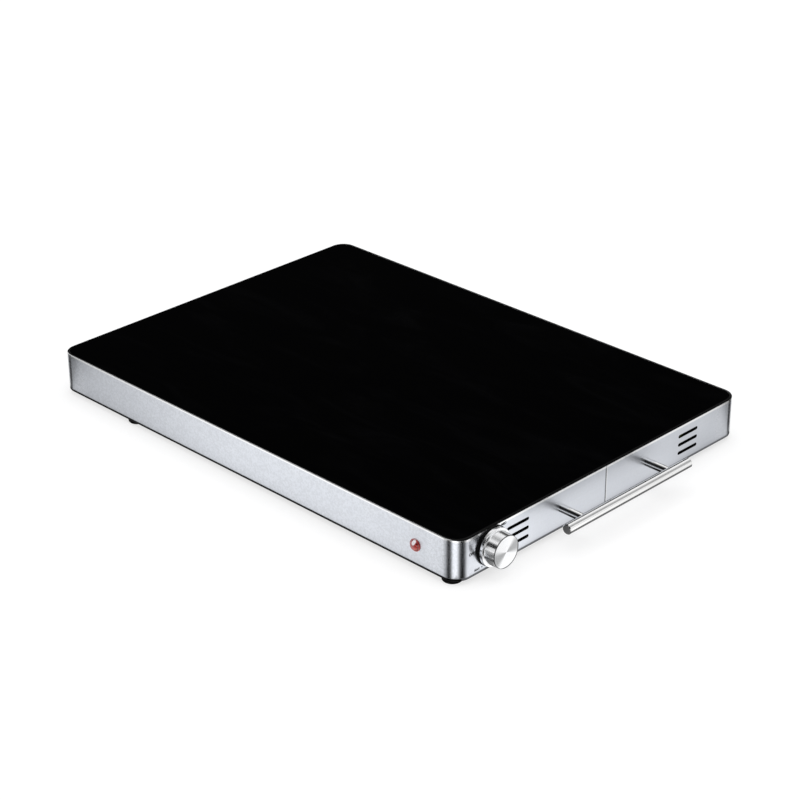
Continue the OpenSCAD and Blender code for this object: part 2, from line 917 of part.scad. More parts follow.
// The nuts of the feet, on the band's flange.
module foot_nuts() {
    color("goldenrod") placed() at_feet() translate([0, 0, flange_top]) {
        hex_prism(nut_af, nut_h, foot_screw_d + 2 * thread_play);
    }
}

// ---------- Handle ----------

// The round bar, with two blind holes for the posts.
module handle_bar() {
    r = bar_d / 2;
    c = bar_chamfer;
    color("silver") placed() translate([bar_x, handle_y, bar_z]) difference() {
        rotate([90, 0, 0]) translate([0, 0, -bar_l / 2]) rotate_extrude() {
            polygon([[0, 0], [r - c, 0], [r, c], [r, bar_l - c], [r - c, bar_l], [0, bar_l]]);
        }
        for (s = [-1, 1]) {
            translate([-r - 1, s * handle_post_y, 0]) rotate([0, 90, 0]) {
                cylinder(d = spigot_d + 2 * thread_play, h = 1 + spigot_l + thread_play);
            }
        }
    }
}

// The two posts, coped to the bar and tapped for the screws.
module handle_posts() {
    color("silver") placed() for (s = [-1, 1]) {
        translate([end_x, handle_y + s * handle_post_y, bar_z]) difference() {
            union() {
                difference() {
                    rotate([0, 90, 0]) cylinder(d = handle_post_d, h = bar_gap + bar_d / 2);
                    translate([bar_gap + bar_d / 2, 0, 0]) rotate([90, 0, 0]) {
                        cylinder(d = bar_d + 2 * thread_play, h = 2 * handle_post_d, center = true);
                    }
                }
                rotate([0, 90, 0]) cylinder(d = spigot_d, h = bar_gap + spigot_l);
            }
            translate([-1, 0, 0]) rotate([0, 90, 0]) {
                cylinder(d = handle_screw_d + 2 * thread_play, h = 1 + handle_screw_l + 1);
            }
        }
    }
}

// The washers inside the band.
module handle_washers() {
    color("gainsboro") placed() for (s = [-1, 1]) {
        on_end(handle_y + s * handle_post_y, bar_z, -band_t - washer_t) difference() {
            cylinder(d = 12, h = washer_t);
            translate([0, 0, -1]) cylinder(d = handle_screw_d + hole_play, h = washer_t + 2);
        }
    }
}

// The screws that hold the posts from inside.
module handle_screws() {
    color("dimgray") placed() for (s = [-1, 1]) {
        on_end(handle_y + s * handle_post_y, bar_z, -band_t - washer_t) {
            cylinder(d = handle_screw_d, h = band_t + washer_t + handle_screw_l);
            translate([0, 0, -3.5]) cylinder(d = 8 / cos(30), h = 3.5, $fn = 6);
        }
    }
}
washer_t = 1;

// ---------- Knob ----------

// Half section of the knob's metal shell, seen from the band outwards.
module shell_profile() {
    skirt_r = skirt_d / 2;
    grip_r = grip_d / 2;
    front_r = grip_front_d / 2;
    bore_r = front_r - knob_wall;
    skirt_front = knob_back + skirt_t;
    polygon([
        [0, knob_front],
        [front_r - knob_chamfer, knob_front],
        [front_r, knob_front - knob_chamfer],
        [grip_r, skirt_front + 0.7],
        [grip_r + 0.4, skirt_front],
        [skirt_r - 0.6, skirt_front],
        [skirt_r, skirt_front - 0.6],
        [skirt_r, knob_back],
        [bore_r + 2, knob_back],
        [bore_r, knob_back + 2],
        [bore_r, knob_front - knob_wall],
        [0, knob_front - knob_wall]
    ]);
}

// The turned and brushed metal shell of the knob.
module knob_shell() {
    color("silver") placed() on_end(-knob_y, knob_z) rotate_extrude() shell_profile();
}

// The plastic hub pressed into the shell, with a bore for the shaft's flat.
module knob_hub() {
    bore_r = grip_front_d / 2 - knob_wall;
    hub_front = knob_front - knob_wall;
    color([0.15, 0.15, 0.15]) placed() on_end(-knob_y, knob_z) difference() {
        union() {
            translate([0, 0, hub_front - 4]) cylinder(r = bore_r, h = 4);
            translate([0, 0, hub_back]) cylinder(d = shaft_d + 6, h = hub_front - hub_back);
        }
        translate([0, 0, hub_back - 1]) intersection() {
            cylinder(d = shaft_d + 2 * thread_play, h = shaft_out - hub_back + 1 + thread_play);
            translate([-shaft_d / 2 + shaft_flat - thread_play, -shaft_d, 0]) {
                cube([2 * shaft_d, 2 * shaft_d, 2 * knob_front]);
            }
        }
    }
}
hub_back = 6.5;
shaft_out = knob_front - knob_wall - 2;

// The black ring on the band behind the knob.
module knob_ring() {
    color([0.05, 0.05, 0.05]) placed() on_end(-knob_y, knob_z) difference() {
        cylinder(d = ring_d, h = ring_t);
        translate([0, 0, -1]) cylinder(d = shaft_d + 4, h = ring_t + 2);
        for (s = [-1, 1]) {
            translate([0, s * stat_screw_pitch / 2, -1]) cylinder(d = m4_d + hole_play, h = 4);
        }
    }
}

// ---------- Thermostat ----------

// The switch body behind the band.
module thermostat_body() {
    color("saddlebrown") placed() translate([stat_back_x, -knob_y, knob_z]) difference() {
        translate([0, -stat_w / 2, -stat_h / 2]) cube([stat_depth, stat_w, stat_h]);
        translate([stat_depth - shaft_in, 0, 0]) rotate([0, 90, 0]) {
            cylinder(d = shaft_d + 2 * shaft_play, h = shaft_in + 1);
        }
        for (s = [-1, 1]) {
            translate([stat_depth - 6, s * stat_screw_pitch / 2, 0]) rotate([0, 90, 0]) {
                cylinder(d = m4_d + 1, h = 7);
            }
            translate([-1, s * (stat_w / 2), -stat_h / 2 - 1]) {
                cylinder(d = 6, h = stat_h + 2);
            }
        }
    }
}
shaft_in = 12;

// The steel front plate, tapped for the two screws.
module thermostat_plate() {
    color("lightgrey") placed() translate([stat_x, -knob_y, knob_z]) difference() {
        translate([0, -stat_w / 2, -stat_h / 2]) cube([stat_plate_t, stat_w, stat_h]);
        translate([-1, 0, 0]) rotate([0, 90, 0]) cylinder(d = shaft_d + 1, h = stat_plate_t + 2);
        for (s = [-1, 1]) {
            translate([-1, s * stat_screw_pitch / 2, 0]) rotate([0, 90, 0]) {
                cylinder(d = m4_d + 2 * thread_play, h = stat_plate_t + 2);
            }
        }
    }
}

// The shaft with its flat, which turns with the knob.
module thermostat_shaft() {
    inner_x = -band_t - stat_plate_t - shaft_in + 0.5;
    color("goldenrod") placed() on_end(-knob_y, knob_z) difference() {
        translate([0, 0, inner_x]) cylinder(d = shaft_d, h = shaft_out - inner_x);
        translate([-shaft_d / 2 - 1, -shaft_d, hub_back - 1]) {
            cube([1 + shaft_flat, 2 * shaft_d, shaft_out]);
        }
    }
}

// The two screws that hold the ring, the band and the plate together.
module thermostat_screws() {
    color("dimgray") placed() for (s = [-1, 1]) {
        on_end(-knob_y + s * stat_screw_pitch / 2, knob_z, ring_t) mirror([0, 0, 1]) {
            pan_screw(m4_d, ring_t + band_t + stat_plate_t + 3, m4_head_d, m4_head_h);
        }
    }
}

// The blade terminals on the back of the thermostat.
module thermostat_tabs() {
    color("gold") placed() for (i = [-1:1]) {
        translate([stat_back_x - tab_l, -knob_y + i * tab_pitch - tab_w / 2, knob_z - 6]) {
            cube([tab_l, tab_w, tab_t]);
        }
    }
}
tab_l = 8;
tab_w = 6.3;
tab_t = 0.8;
tab_pitch = 11;

function unit(v) = v / norm(v);

// Rounds the inner points of a route: each corner becomes a short curve of steps + 1 points.
function rounded_route(p, reach, steps) = [
    p[0],
    for (i = [1:len(p) - 2])
        let (
            back = p[i - 1] - p[i],
            ahead = p[i + 1] - p[i],
            cut = min(reach, norm(back) / 2.2, norm(ahead) / 2.2),
            a = p[i] + cut * unit(back),
            b = p[i] + cut * unit(ahead)
        )
        for (k = [0:steps])
            let (t = k / steps)
            (1 - t) * (1 - t) * a + 2 * t * (1 - t) * p[i] + t * t * b,
    p[len(p) - 1]
];

// The direction of a route at each of its points.
function directions(p) = [
    for (i = [0:len(p) - 1])
        unit(p[min(i + 1, len(p) - 1)] - p[max(i - 1, 0)])
];

// A vector square to each direction, carried along the route without twist.
function side_vectors(dirs) = [
    for (
        i = 0, n = unit(cross(dirs[0], abs(dirs[0][2]) < 0.9 ? [0, 0, 1] : [1, 0, 0]));
        i < len(dirs);
        i = i + 1, n = i < len(dirs) ? unit(n - (n * dirs[i]) * dirs[i]) : n
    ) n
];

// A bent wire or capillary through points, as one swept tube.
module run(points, d) {
    sides = 8;
    route = rounded_route(points, 3 * d, 4);
    dirs = directions(route);
    normals = side_vectors(dirs);
    last = len(route) - 1;
    rings = [
        for (i = [0:last], j = [0:sides - 1])
            let (a = 360 * j / sides, n = normals[i], b = cross(dirs[i], n))
            route[i] + d / 2 * (cos(a) * n + sin(a) * b)
    ];
    walls = [
        for (i = [0:last - 1], j = [0:sides - 1])
            let (k = (j + 1) % sides, lo = i * sides, hi = lo + sides)
            [lo + j, hi + j, hi + k, lo + k]
    ];
    first_cap = [for (j = [0:sides - 1]) j];
    last_cap = [for (j = [0:sides - 1]) last * sides + sides - 1 - j];
    polyhedron(points = rings, faces = concat([first_cap], walls, [last_cap]));
}

// The sensor bulb under the spreader and its capillary to the thermostat.
bulb_x = strap_pitch + strap_w / 2 + 6 + bulb_l / 2;
bulb_y = -3 * pass_pitch;
bulb_z = spreader_z - bulb_d / 2;
module sensor_bulb() {
    turn_x = tail_x + pin_l + 6;
    color("peru") placed() union() {
        translate([bulb_x - bulb_l / 2, bulb_y, bulb_z]) rotate([0, 90, 0]) {
            cylinder(d = bulb_d, h = bulb_l);
        }
        run([
            [bulb_x + bulb_l / 2 - 1, bulb_y, bulb_z],
            [turn_x, bulb_y, bulb_z],
            [turn_x, -knob_y, knob_z + 6],
            [stat_back_x, -knob_y, knob_z + 6]
        ], capillary_d);
    }
}

// The clips that press the bulb to the spreader.
module bulb_clips() {
    color("gray") placed() for (s = [-1, 1]) {
        translate([bulb_x + s * bulb_l / 4 - 4, bulb_y, bulb_z]) rotate([90, 0, 90]) {
            linear_extrude(8) difference() {
                union() {
                    circle(bulb_d / 2 + 0.9);
                    translate([-bulb_d / 2 - 0.9, 0]) square([bulb_d + 1.8, bulb_d / 2]);
                    translate([-bulb_d / 2 - 6, bulb_d / 2 - 0.8]) square([bulb_d + 12, 0.8]);
                }
                circle(bulb_d / 2 + 0.1);
                translate([-bulb_d / 2 - 0.1, 0]) square([bulb_d + 0.2, bulb_d]);
            }
        }
    }
}

// The disc-type thermal cut-out under the spreader.
cutout_x = strap_pitch - strap_w / 2 - 24;
cutout_y = -pass_pitch;
module thermal_cutout() {
    color("sienna") placed() translate([cutout_x, cutout_y, spreader_z]) difference() {
        union() {
            translate([0, 0, -3]) cylinder(d = 16, h = 3);
            translate([0, 0, -10]) cylinder(d = 14.5, h = 7);
            translate([-16, -5, -1.2]) cube([32, 10, 1.2]);
            for (s = [-1, 1]) {
                translate([s * 4.5 - 0.4, -tab_w / 2, -17]) cube([tab_t, tab_w, 8]);
            }
        }
        for (s = [-1, 1]) {
            translate([s * 12, 0, -3]) cylinder(d = m3_d + hole_play, h = 4);
        }
    }
}

// The cut-out's two screws.
module cutout_screws() {
    color("dimgray") placed() for (s = [-1, 1]) {
        translate([cutout_x + s * 12, cutout_y, spreader_z - 1.2]) {
            pan_screw(m3_d, 1.2, m3_head_d, m3_head_h);
        }
    }
}

// ---------- Pilot lamp ----------

// The red lens: a rim on the band and a dome in front of it.
module lamp_lens() {
    rim_t = 1.4;
    dome_r = lens_d / 2 - 0.9;
    rise = lens_h - rim_t;
    ball_r = (dome_r * dome_r + rise * rise) / (2 * rise);
    color("red") placed() on_front(lamp_x, lamp_z) union() {
        cylinder(d = lens_d, h = rim_t - 0.5);
        translate([0, 0, rim_t - 0.5]) cylinder(d1 = lens_d, d2 = lens_d - 1, h = 0.5);
        intersection() {
            translate([0, 0, rim_t + rise - ball_r]) sphere(ball_r);
            translate([0, 0, rim_t - 0.2]) cylinder(r = dome_r, h = rise + 1);
        }
    }
}

// The barrel behind the lens, through the band.
module lamp_body() {
    color([0.1, 0.1, 0.1]) placed() on_front(lamp_x, lamp_z, -barrel_l) {
        cylinder(d = barrel_d, h = barrel_l);
    }
}

// The push-on spring clip that holds the lamp from inside.
module lamp_clip() {
    color("silver") placed() on_front(lamp_x, lamp_z, -band_t - 1) difference() {
        cylinder(d = barrel_d + 7, h = 1);
        translate([0, 0, -1]) cylinder(d = barrel_d + 2 * thread_play, h = 3);
        for (a = [0:60:300]) {
            rotate([0, 0, a]) translate([barrel_d / 2 - 1, -0.4, -1]) cube([3, 0.8, 3]);
        }
    }
}

// The lamp's two blade terminals.
module lamp_tabs() {
    color("gold") placed() for (s = [-1, 1]) {
        on_front(lamp_x + s * 2.5, lamp_z, -barrel_l - 7) {
            translate([-0.25, -1.4, 0]) cube([0.5, 2.8, 7]);
        }
    }
}

// ---------- Power inlet ----------

// Outline of the socket, grown by a wall: a rectangle with two corners cut off.
module socket_outline(grow) {
    w = socket_w / 2 + grow;
    h = socket_h / 2 + grow;
    c = 4.6;
    polygon([[-w, h], [w, h], [w, -h + c], [w - c, -h], [-w + c, -h], [-w, -h + c]]);
}

// The moulded inlet housing, flanged on the far long side.
module inlet_housing() {
    depth = socket_depth + 3;
    color([0.1, 0.1, 0.1]) placed() on_back(inlet_x, inlet_z) difference() {
        union() {
            linear_extrude(inlet_flange_t) {
                rounded_rect(inlet_flange_w, inlet_flange_h, 4);
            }
            translate([0, 0, -depth + inlet_flange_t]) linear_extrude(depth) {
                socket_outline(socket_wall);
            }
        }
        translate([0, 0, inlet_flange_t - socket_depth]) linear_extrude(socket_depth + 1) {
            socket_outline(0);
        }
        for (p = inlet_pin_at) {
            translate([p[0] - 1 - pin_play, p[1] - 2 - pin_play, -depth]) {
                cube([2 + 2 * pin_play, 4 + 2 * pin_play, 4 + inlet_flange_t]);
            }
        }
        for (s = [-1, 1]) {
            translate([s * inlet_screw_pitch / 2, 0, -1]) {
                cylinder(d = m3_d + hole_play, h = inlet_flange_t + 2);
                translate([0, 0, 1 + inlet_flange_t - m3_head_h]) {
                    cylinder(d1 = m3_d + hole_play, d2 = m3_head_d + 0.4, h = m3_head_h + eps);
                }
            }
        }
    }
}
inlet_pin_at = [[-7, 2], [7, 2], [0, -2]];
pin_play = 0.02;

// The inlet's three blades, with tabs behind the housing.
module inlet_pins() {
    color("gold") placed() on_back(inlet_x, inlet_z) for (p = inlet_pin_at) {
        translate([p[0] - 1, p[1] - 2, inlet_flange_t - socket_depth - 3 - tab_l]) {
            cube([2, 4, tab_l + 3 + socket_depth - 3]);
        }
    }
}

// The inlet's two countersunk screws.
module inlet_screws() {
    color("silver") placed() for (s = [-1, 1]) {
        on_back(inlet_x + s * inlet_screw_pitch / 2, inlet_z, inlet_flange_t) {
            translate([0, 0, -m3_head_h + 0.3]) cylinder(d1 = m3_d, d2 = m3_head_d - 0.2, h = m3_head_h - 0.3);
            translate([0, 0, -11]) cylinder(d = m3_d, h = 11 - m3_head_h + 0.3 + eps);
        }
    }
}

// The nuts of the inlet's screws.
module inlet_nuts() {
    color("goldenrod") placed() for (s = [-1, 1]) {
        on_back(inlet_x + s * inlet_screw_pitch / 2, inlet_z, -band_t - 2.4) {
            hex_prism(5.5, 2.4, m3_d + 2 * thread_play);
        }
    }
}

// ---------- Wiring ----------

block_x = mat_l / 2 + 26;
block_l = 44;
block_w = 18;
block_h = 14;
block_screw_pitch = 38;
pole_pitch = 9;
lead_play = 0.3;
lead_gap = 0.05;
block_y = side_y - block_side;
earth_x = block_x;
earth_y = side_y - earth_side;

// The ceramic terminal block on the base pan.
module terminal_block() {
    color("white") placed() translate([block_x, block_y, band_z]) difference() {
        union() {
            translate([-block_w / 2, -block_l / 2, 0]) cube([block_w, block_l, 4]);
            translate([-block_w / 2, -14, 0]) cube([block_w, 28, block_h]);
        }
        for (i = [-1:1]) {
            translate([-block_w / 2 - 1, i * pole_pitch, lead_z - band_z]) {
                rotate([0, 90, 0]) cylinder(d = lead_d + 2 * lead_play, h = block_w + 2);
            }
            for (s = [-1, 1]) {
                translate([s * 5, i * pole_pitch, lead_z - band_z]) cylinder(d = 3.6, h = block_h);
            }
        }
        for (s = [-1, 1]) {
            translate([0, s * block_screw_pitch / 2, -1]) {
                cylinder(d = m3_d + hole_play, h = 6);
            }
        }
    }
}

// The screws that hold the block, up through the pan.
module block_screws() {
    color("dimgray") placed() for (s = [-1, 1]) {
        translate([block_x, block_y + s * block_screw_pitch / 2, pan_z]) {
            pan_screw(m3_d, pan_t + 6, m3_head_d, m3_head_h);
        }
    }
}

// The earth stud through the base pan.
module earth_stud() {
    color("silver") placed() translate([earth_x, earth_y, pan_z]) {
        pan_screw(m4_d, 14, m4_head_d, m4_head_h);
    }
}

// The nut of the earth stud.
module earth_nut() {
    color("goldenrod") placed() translate([earth_x, earth_y, band_z]) {
        hex_prism(nut_af, nut_h, m4_d + 2 * thread_play);
    }
}

// A blade connector with its tab along Z from 0 upwards; the lead leaves below it.
module blade_socket(thick, wide, long) {
    wall = 0.7;
    play = 0.05;
    difference() {
        translate([-thick / 2 - wall, -wide / 2 - wall, -socket_tail]) {
            cube([thick + 2 * wall, wide + 2 * wall, socket_tail + long - 1.5]);
        }
        translate([-thick / 2 - play, -wide / 2 - play, -play]) {
            cube([thick + 2 * play, wide + 2 * play, long]);
        }
    }
}
socket_tail = 4;

// A crimped barrel on one of the element's pins.
module pin_barrel(side) {
    translate([tail_x + pin_l - 7, side * first_pass, tube_z]) rotate([0, 90, 0]) difference() {
        cylinder(d = pin_d + 2.2, h = 10);
        translate([0, 0, -1]) cylinder(d = pin_d + 2 * thread_play, h = 8 + thread_play);
    }
}

// Points shared by the leads
socket_y = side_y + inlet_flange_t - socket_depth - 3 - tab_l;
stat_tab_x = stat_back_x - tab_l;
stat_tab_z = knob_z - 6 + tab_t / 2;
barrel_mouth = tail_x + pin_l + 3;
drop_x = barrel_mouth + 9;
// Two leads share the neutral pin's barrel, side by side.
element_shift = 1.1;
lamp_shift = -1.6;
lane_x = mat_l / 2 + 4.5;
wall_x = end_x - 13;

// The two leads from the inlet to the terminal block.
module supply_leads() {
    left = block_x - block_w / 2 + 3;
    lane = [mat_l / 2 - 1, mat_l / 2 + 8];
    for (i = [0, 1]) {
        x = inlet_x + inlet_pin_at[i][0];
        z = inlet_z - inlet_pin_at[i][1];
        y = block_y + i * pole_pitch;
        turn_y = socket_y - 28 + 10 * i;
        color(i == 0 ? "brown" : "blue") placed() union() {
            translate([x, socket_y, z]) rotate([-90, 0, 0]) blade_socket(2, 4, tab_l);
            run([
                [x, socket_y - socket_tail + 1, z],
                [x, socket_y - socket_tail - 4, z],
                [x, turn_y, lead_z],
                [lane[i], turn_y, lead_z],
                [lane[i], y, lead_z],
                [left, y, lead_z]
            ], lead_d);
        }
    }
}

// The earth lead from the inlet to its stud, with a ring at the end.
module earth_lead() {
    z = inlet_z - inlet_pin_at[2][1];
    ring_z = band_z + nut_h;
    color("yellowgreen") placed() union() {
        translate([inlet_x, socket_y, z]) rotate([-90, 0, 0]) blade_socket(2, 4, tab_l);
        run([
            [inlet_x, socket_y - socket_tail + 1, z],
            [inlet_x, socket_y - socket_tail - 9, z + 4],
            [earth_x, socket_y - socket_tail - 9, z + 4],
            [earth_x, earth_y + 8, ring_z + 4],
            [earth_x, earth_y + 4.4, ring_z + 1.4]
        ], lead_d);
        translate([earth_x, earth_y, ring_z]) difference() {
            union() {
                cylinder(d = 8, h = 0.8);
                translate([-1.5, 0, 0]) cube([3, 6, 1.8]);
            }
            translate([0, 0, -1]) cylinder(d = m4_d + hole_play, h = 4);
            translate([-2, -2, 0.8]) cube([4, 5.2, 4]);
        }
    }
}

// The live lead to the thermostat and the switched lead to the thermal cut-out.
module control_leads() {
    right = block_x + block_w / 2 - 3;
    tab_x = cutout_x + 4.5;
    tab_low = spreader_z - 17;
    for (s = [-1, 1]) {
        color("brown") placed() union() {
            translate([stat_tab_x, -knob_y + s * tab_pitch, stat_tab_z]) rotate([0, 90, 0]) {
                blade_socket(tab_t, tab_w, tab_l);
            }
            if (s > 0) {
                run([
                    [right, block_y, lead_z],
                    [wall_x, block_y, lead_z],
                    [wall_x, -knob_y + stat_w / 2 + 10, lead_z],
                    [stat_tab_x - 9, -knob_y + stat_w / 2 + 6, lead_z],
                    [stat_tab_x - 9, -knob_y + tab_pitch, stat_tab_z],
                    [stat_tab_x - socket_tail + 1, -knob_y + tab_pitch, stat_tab_z]
                ], lead_d);
            } else {
                run([
                    [stat_tab_x - socket_tail + 1, -knob_y - tab_pitch, stat_tab_z],
                    [lane_x, -knob_y - tab_pitch, lead_z + 2],
                    [lane_x, cutout_y - 15, lead_z],
                    [tab_x, cutout_y, lead_z],
                    [tab_x, cutout_y, tab_low - socket_tail + 1]
                ], lead_d);
                translate([tab_x, cutout_y, tab_low]) blade_socket(tab_t, tab_w, tab_l);
            }
        }
    }
}

// The leads from the cut-out and from the terminal block to the element's pins.
module element_leads() {
    tab_x = cutout_x - 4.5;
    tab_low = spreader_z - 17;
    right = block_x + block_w / 2 - 3;
    color("white") placed() union() {
        translate([tab_x, cutout_y, tab_low]) blade_socket(tab_t, tab_w, tab_l);
        run([
            [tab_x, cutout_y, tab_low - socket_tail + 1],
            [tab_x, cutout_y, lead_z + 6],
            [tab_x, cutout_y - 30, lead_z + 6],
            [lane_x - 4, cutout_y - 30, lead_z + 6],
            [drop_x - 2, first_pass + 14, lead_z + 8],
            [drop_x, first_pass, tube_z - 11],
            [drop_x, first_pass, tube_z],
            [barrel_mouth - 1, first_pass, tube_z]
        ], lead_d);
        pin_barrel(1);
    }
    color("blue") placed() union() {
        run([
            [right, block_y + pole_pitch, lead_z],
            [right + 8, block_y + pole_pitch, lead_z],
            [right + 8, block_y + 37, lead_z],
            [drop_x + 2, -first_pass - 14, lead_z + 10],
            [drop_x, -first_pass + element_shift, tube_z - 10],
            [drop_x, -first_pass + element_shift, tube_z],
            [barrel_mouth - 1, -first_pass + element_shift, tube_z]
        ], lead_d);
        pin_barrel(-1);
    }
}

// The lamp's leads, to the thermostat's middle tab and to the element's neutral pin.
module lamp_leads() {
    tab_end = -side_y + barrel_l + 7;
    for (s = [-1, 1]) {
        x = lamp_x + s * 2.5;
        color("white") placed() union() {
            translate([x, tab_end, lamp_z]) rotate([90, 0, 0]) blade_socket(0.5, 2.8, 7);
            if (s < 0) {
                run([
                    [x, tab_end + socket_tail - 1, lamp_z],
                    [x, tab_end + socket_tail + 6, lamp_z],
                    [stat_tab_x - 8, -knob_y, stat_tab_z],
                    [stat_tab_x - socket_tail + 1, -knob_y, stat_tab_z]
                ], lamp_lead_d);
                translate([stat_tab_x, -knob_y, stat_tab_z]) rotate([0, 90, 0]) {
                    blade_socket(tab_t, tab_w, tab_l);
                }
            } else {
                run([
                    [x, tab_end + socket_tail - 1, lamp_z],
                    [x, tab_end + socket_tail + 3, lamp_z],
                    [lane_x + 4, tab_end + socket_tail + 16, lamp_z + 4],
                    [lane_x + 4, first_pass + 20, tube_z - 12],
                    [lane_x + 4, -first_pass - 24, tube_z - 12],
                    [barrel_mouth + 5, -first_pass + lamp_shift, tube_z - 9],
                    [barrel_mouth + 5, -first_pass + lamp_shift, tube_z],
                    [barrel_mouth + lead_gap, -first_pass + lamp_shift, tube_z]
                ], lamp_lead_d);
            }
        }
    }
}

rim_band();
seam_plate();
support_ledge();
glass_top();
glass_seal();
heat_spreader();
spreader_clips();
clip_screws();
heating_element();
element_terminals();
element_straps();
strap_studs();
strap_nuts();
insulation_mat();
heat_shield();
shield_posts();
post_screws();
base_pan();
base_screws();
feet();
foot_screws();
foot_nuts();
handle_bar();
handle_posts();
handle_washers();
handle_screws();
knob_shell();
knob_hub();
knob_ring();
thermostat_body();
thermostat_plate();
thermostat_shaft();
thermostat_screws();
thermostat_tabs();
sensor_bulb();
bulb_clips();
thermal_cutout();
cutout_screws();
lamp_lens();
lamp_body();
lamp_clip();
lamp_tabs();
inlet_housing();
inlet_pins();
inlet_screws();
inlet_nuts();
terminal_block();
block_screws();
earth_stud();
earth_nut();
supply_leads();
control_leads();
element_leads();
lamp_leads();
earth_lead();
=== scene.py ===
import json
import math

import bmesh
import bpy
from mathutils import Matrix, Vector


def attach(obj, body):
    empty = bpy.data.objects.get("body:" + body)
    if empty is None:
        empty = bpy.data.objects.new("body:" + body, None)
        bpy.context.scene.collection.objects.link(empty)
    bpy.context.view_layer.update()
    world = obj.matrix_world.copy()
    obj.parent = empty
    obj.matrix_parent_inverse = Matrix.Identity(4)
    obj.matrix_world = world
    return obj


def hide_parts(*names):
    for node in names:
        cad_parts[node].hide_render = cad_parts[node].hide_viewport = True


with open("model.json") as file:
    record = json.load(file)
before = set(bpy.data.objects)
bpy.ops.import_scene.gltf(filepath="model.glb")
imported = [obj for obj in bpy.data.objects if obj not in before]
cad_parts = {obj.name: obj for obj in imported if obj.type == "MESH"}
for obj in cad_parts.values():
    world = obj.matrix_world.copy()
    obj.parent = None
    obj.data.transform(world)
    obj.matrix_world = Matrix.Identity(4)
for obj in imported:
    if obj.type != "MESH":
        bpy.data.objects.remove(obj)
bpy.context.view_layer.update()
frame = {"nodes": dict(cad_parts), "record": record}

MM = 0.001


# ---------------------------------------------------------------- node tools

class Value:
    """A socket of a finish. Sums, products and powers on it add Math nodes."""

    def __init__(self, finish, socket):
        self.finish = finish
        self.socket = socket

    def maths(self, operation, *others):
        return self.finish.maths(operation, self, *others)

    def __add__(self, other):
        return self.maths("ADD", other)

    def __sub__(self, other):
        return self.maths("SUBTRACT", other)

    def __mul__(self, other):
        return self.maths("MULTIPLY", other)

    def __truediv__(self, other):
        return self.maths("DIVIDE", other)

    def __pow__(self, other):
        return self.maths("POWER", other)

    def __rsub__(self, other):
        return self.finish.maths("SUBTRACT", other, self)

    def __rtruediv__(self, other):
        return self.finish.maths("DIVIDE", other, self)

    def __abs__(self):
        return self.maths("ABSOLUTE")

    __radd__ = __add__
    __rmul__ = __mul__

    def step(self, low, high, first=0.0, last=1.0):
        """Goes smoothly from first to last while the value goes from low to high."""
        return self.finish.node("ShaderNodeMapRange", {"interpolation_type": "SMOOTHSTEP"},
                                {0: self, 1: low, 2: high, 3: first, 4: last})


class Finish:
    """A node tree under construction: a material or the world."""

    def __init__(self, tree):
        self.nodes = tree.nodes
        self.links = tree.links
        self.nodes.clear()

    def node(self, kind, settings=None, sockets=None, out=0):
        """Adds a node: its settings and ramp stops first, then its sockets' values or links."""
        made = self.nodes.new(kind)
        for name, setting in (settings or {}).items():
            if name == "stops":
                self.set_stops(made.color_ramp.elements, setting)
            else:
                setattr(made, name, setting)
        for key, value in (sockets or {}).items():
            self.feed(made.inputs[key], value)
        return Value(self, made.outputs[out]) if len(made.outputs) else made

    def feed(self, socket, value):
        if isinstance(value, Value):
            self.links.new(value.socket, socket)
        elif hasattr(value, "__len__") and len(value) == 3 and socket.type == "RGBA":
            socket.default_value = (*value, 1.0)
        else:
            socket.default_value = value

    @staticmethod
    def set_stops(elements, stops):
        while len(elements) < len(stops):
            elements.new(1.0)
        for element, (place, colour) in zip(elements, stops):
            element.position = place
            element.color = (*colour, 1.0) if hasattr(colour, "__len__") else (colour,) * 3 + (1.0,)

    def maths(self, operation, *values):
        return self.node("ShaderNodeMath", {"operation": operation}, dict(enumerate(values)))

    def vector(self, operation, a, b):
        """Vector Math; b is a vector, or a number for SCALE."""
        return self.node("ShaderNodeVectorMath", {"operation": operation},
                         {0: a, (3 if operation == "SCALE" else 1): b})

    def blend(self, share, a, b, mode="MIX"):
        """Mixes two colours."""
        return self.node("ShaderNodeMix", {"data_type": "RGBA", "blend_type": mode},
                         {0: share, 6: a, 7: b}, out=2)

    def place(self, output="Object"):
        """Texture coordinates: a piece's own, in metres, unless another output is named."""
        outputs = ("Generated", "Normal", "UV", "Object")
        return self.node("ShaderNodeTexCoord", out=outputs.index(output))

    def parts(self, vector):
        """The x, y and z of a vector."""
        made = self.node("ShaderNodeSeparateXYZ", None, {0: vector})
        outputs = made.socket.node.outputs
        return [Value(self, outputs[i]) for i in range(3)]

    def stretched(self, vector, *factors):
        """The vector with each axis scaled by its own factor."""
        return self.vector("MULTIPLY", vector, factors)

    def noise(self, vector, scale, detail=2.0, rough=0.5, distort=0.0):
        return self.node("ShaderNodeTexNoise", None, {
            "Vector": vector, "Scale": scale, "Detail": detail, "Roughness": rough,
            "Distortion": distort})

    def cells(self, vector, scale, feature="F1", out=0):
        return self.node("ShaderNodeTexVoronoi", {"feature": feature},
                         {"Vector": vector, "Scale": scale}, out=out)

    def largest(self, *values):
        """The largest of two or more values."""
        result = values[0]
        for value in values[1:]:
            result = self.maths("MAXIMUM", result, value)
        return result

    def ramp(self, value, *stops):
        """A colour that follows a value."""
        return self.node("ShaderNodeValToRGB", {"stops": stops}, {0: value})


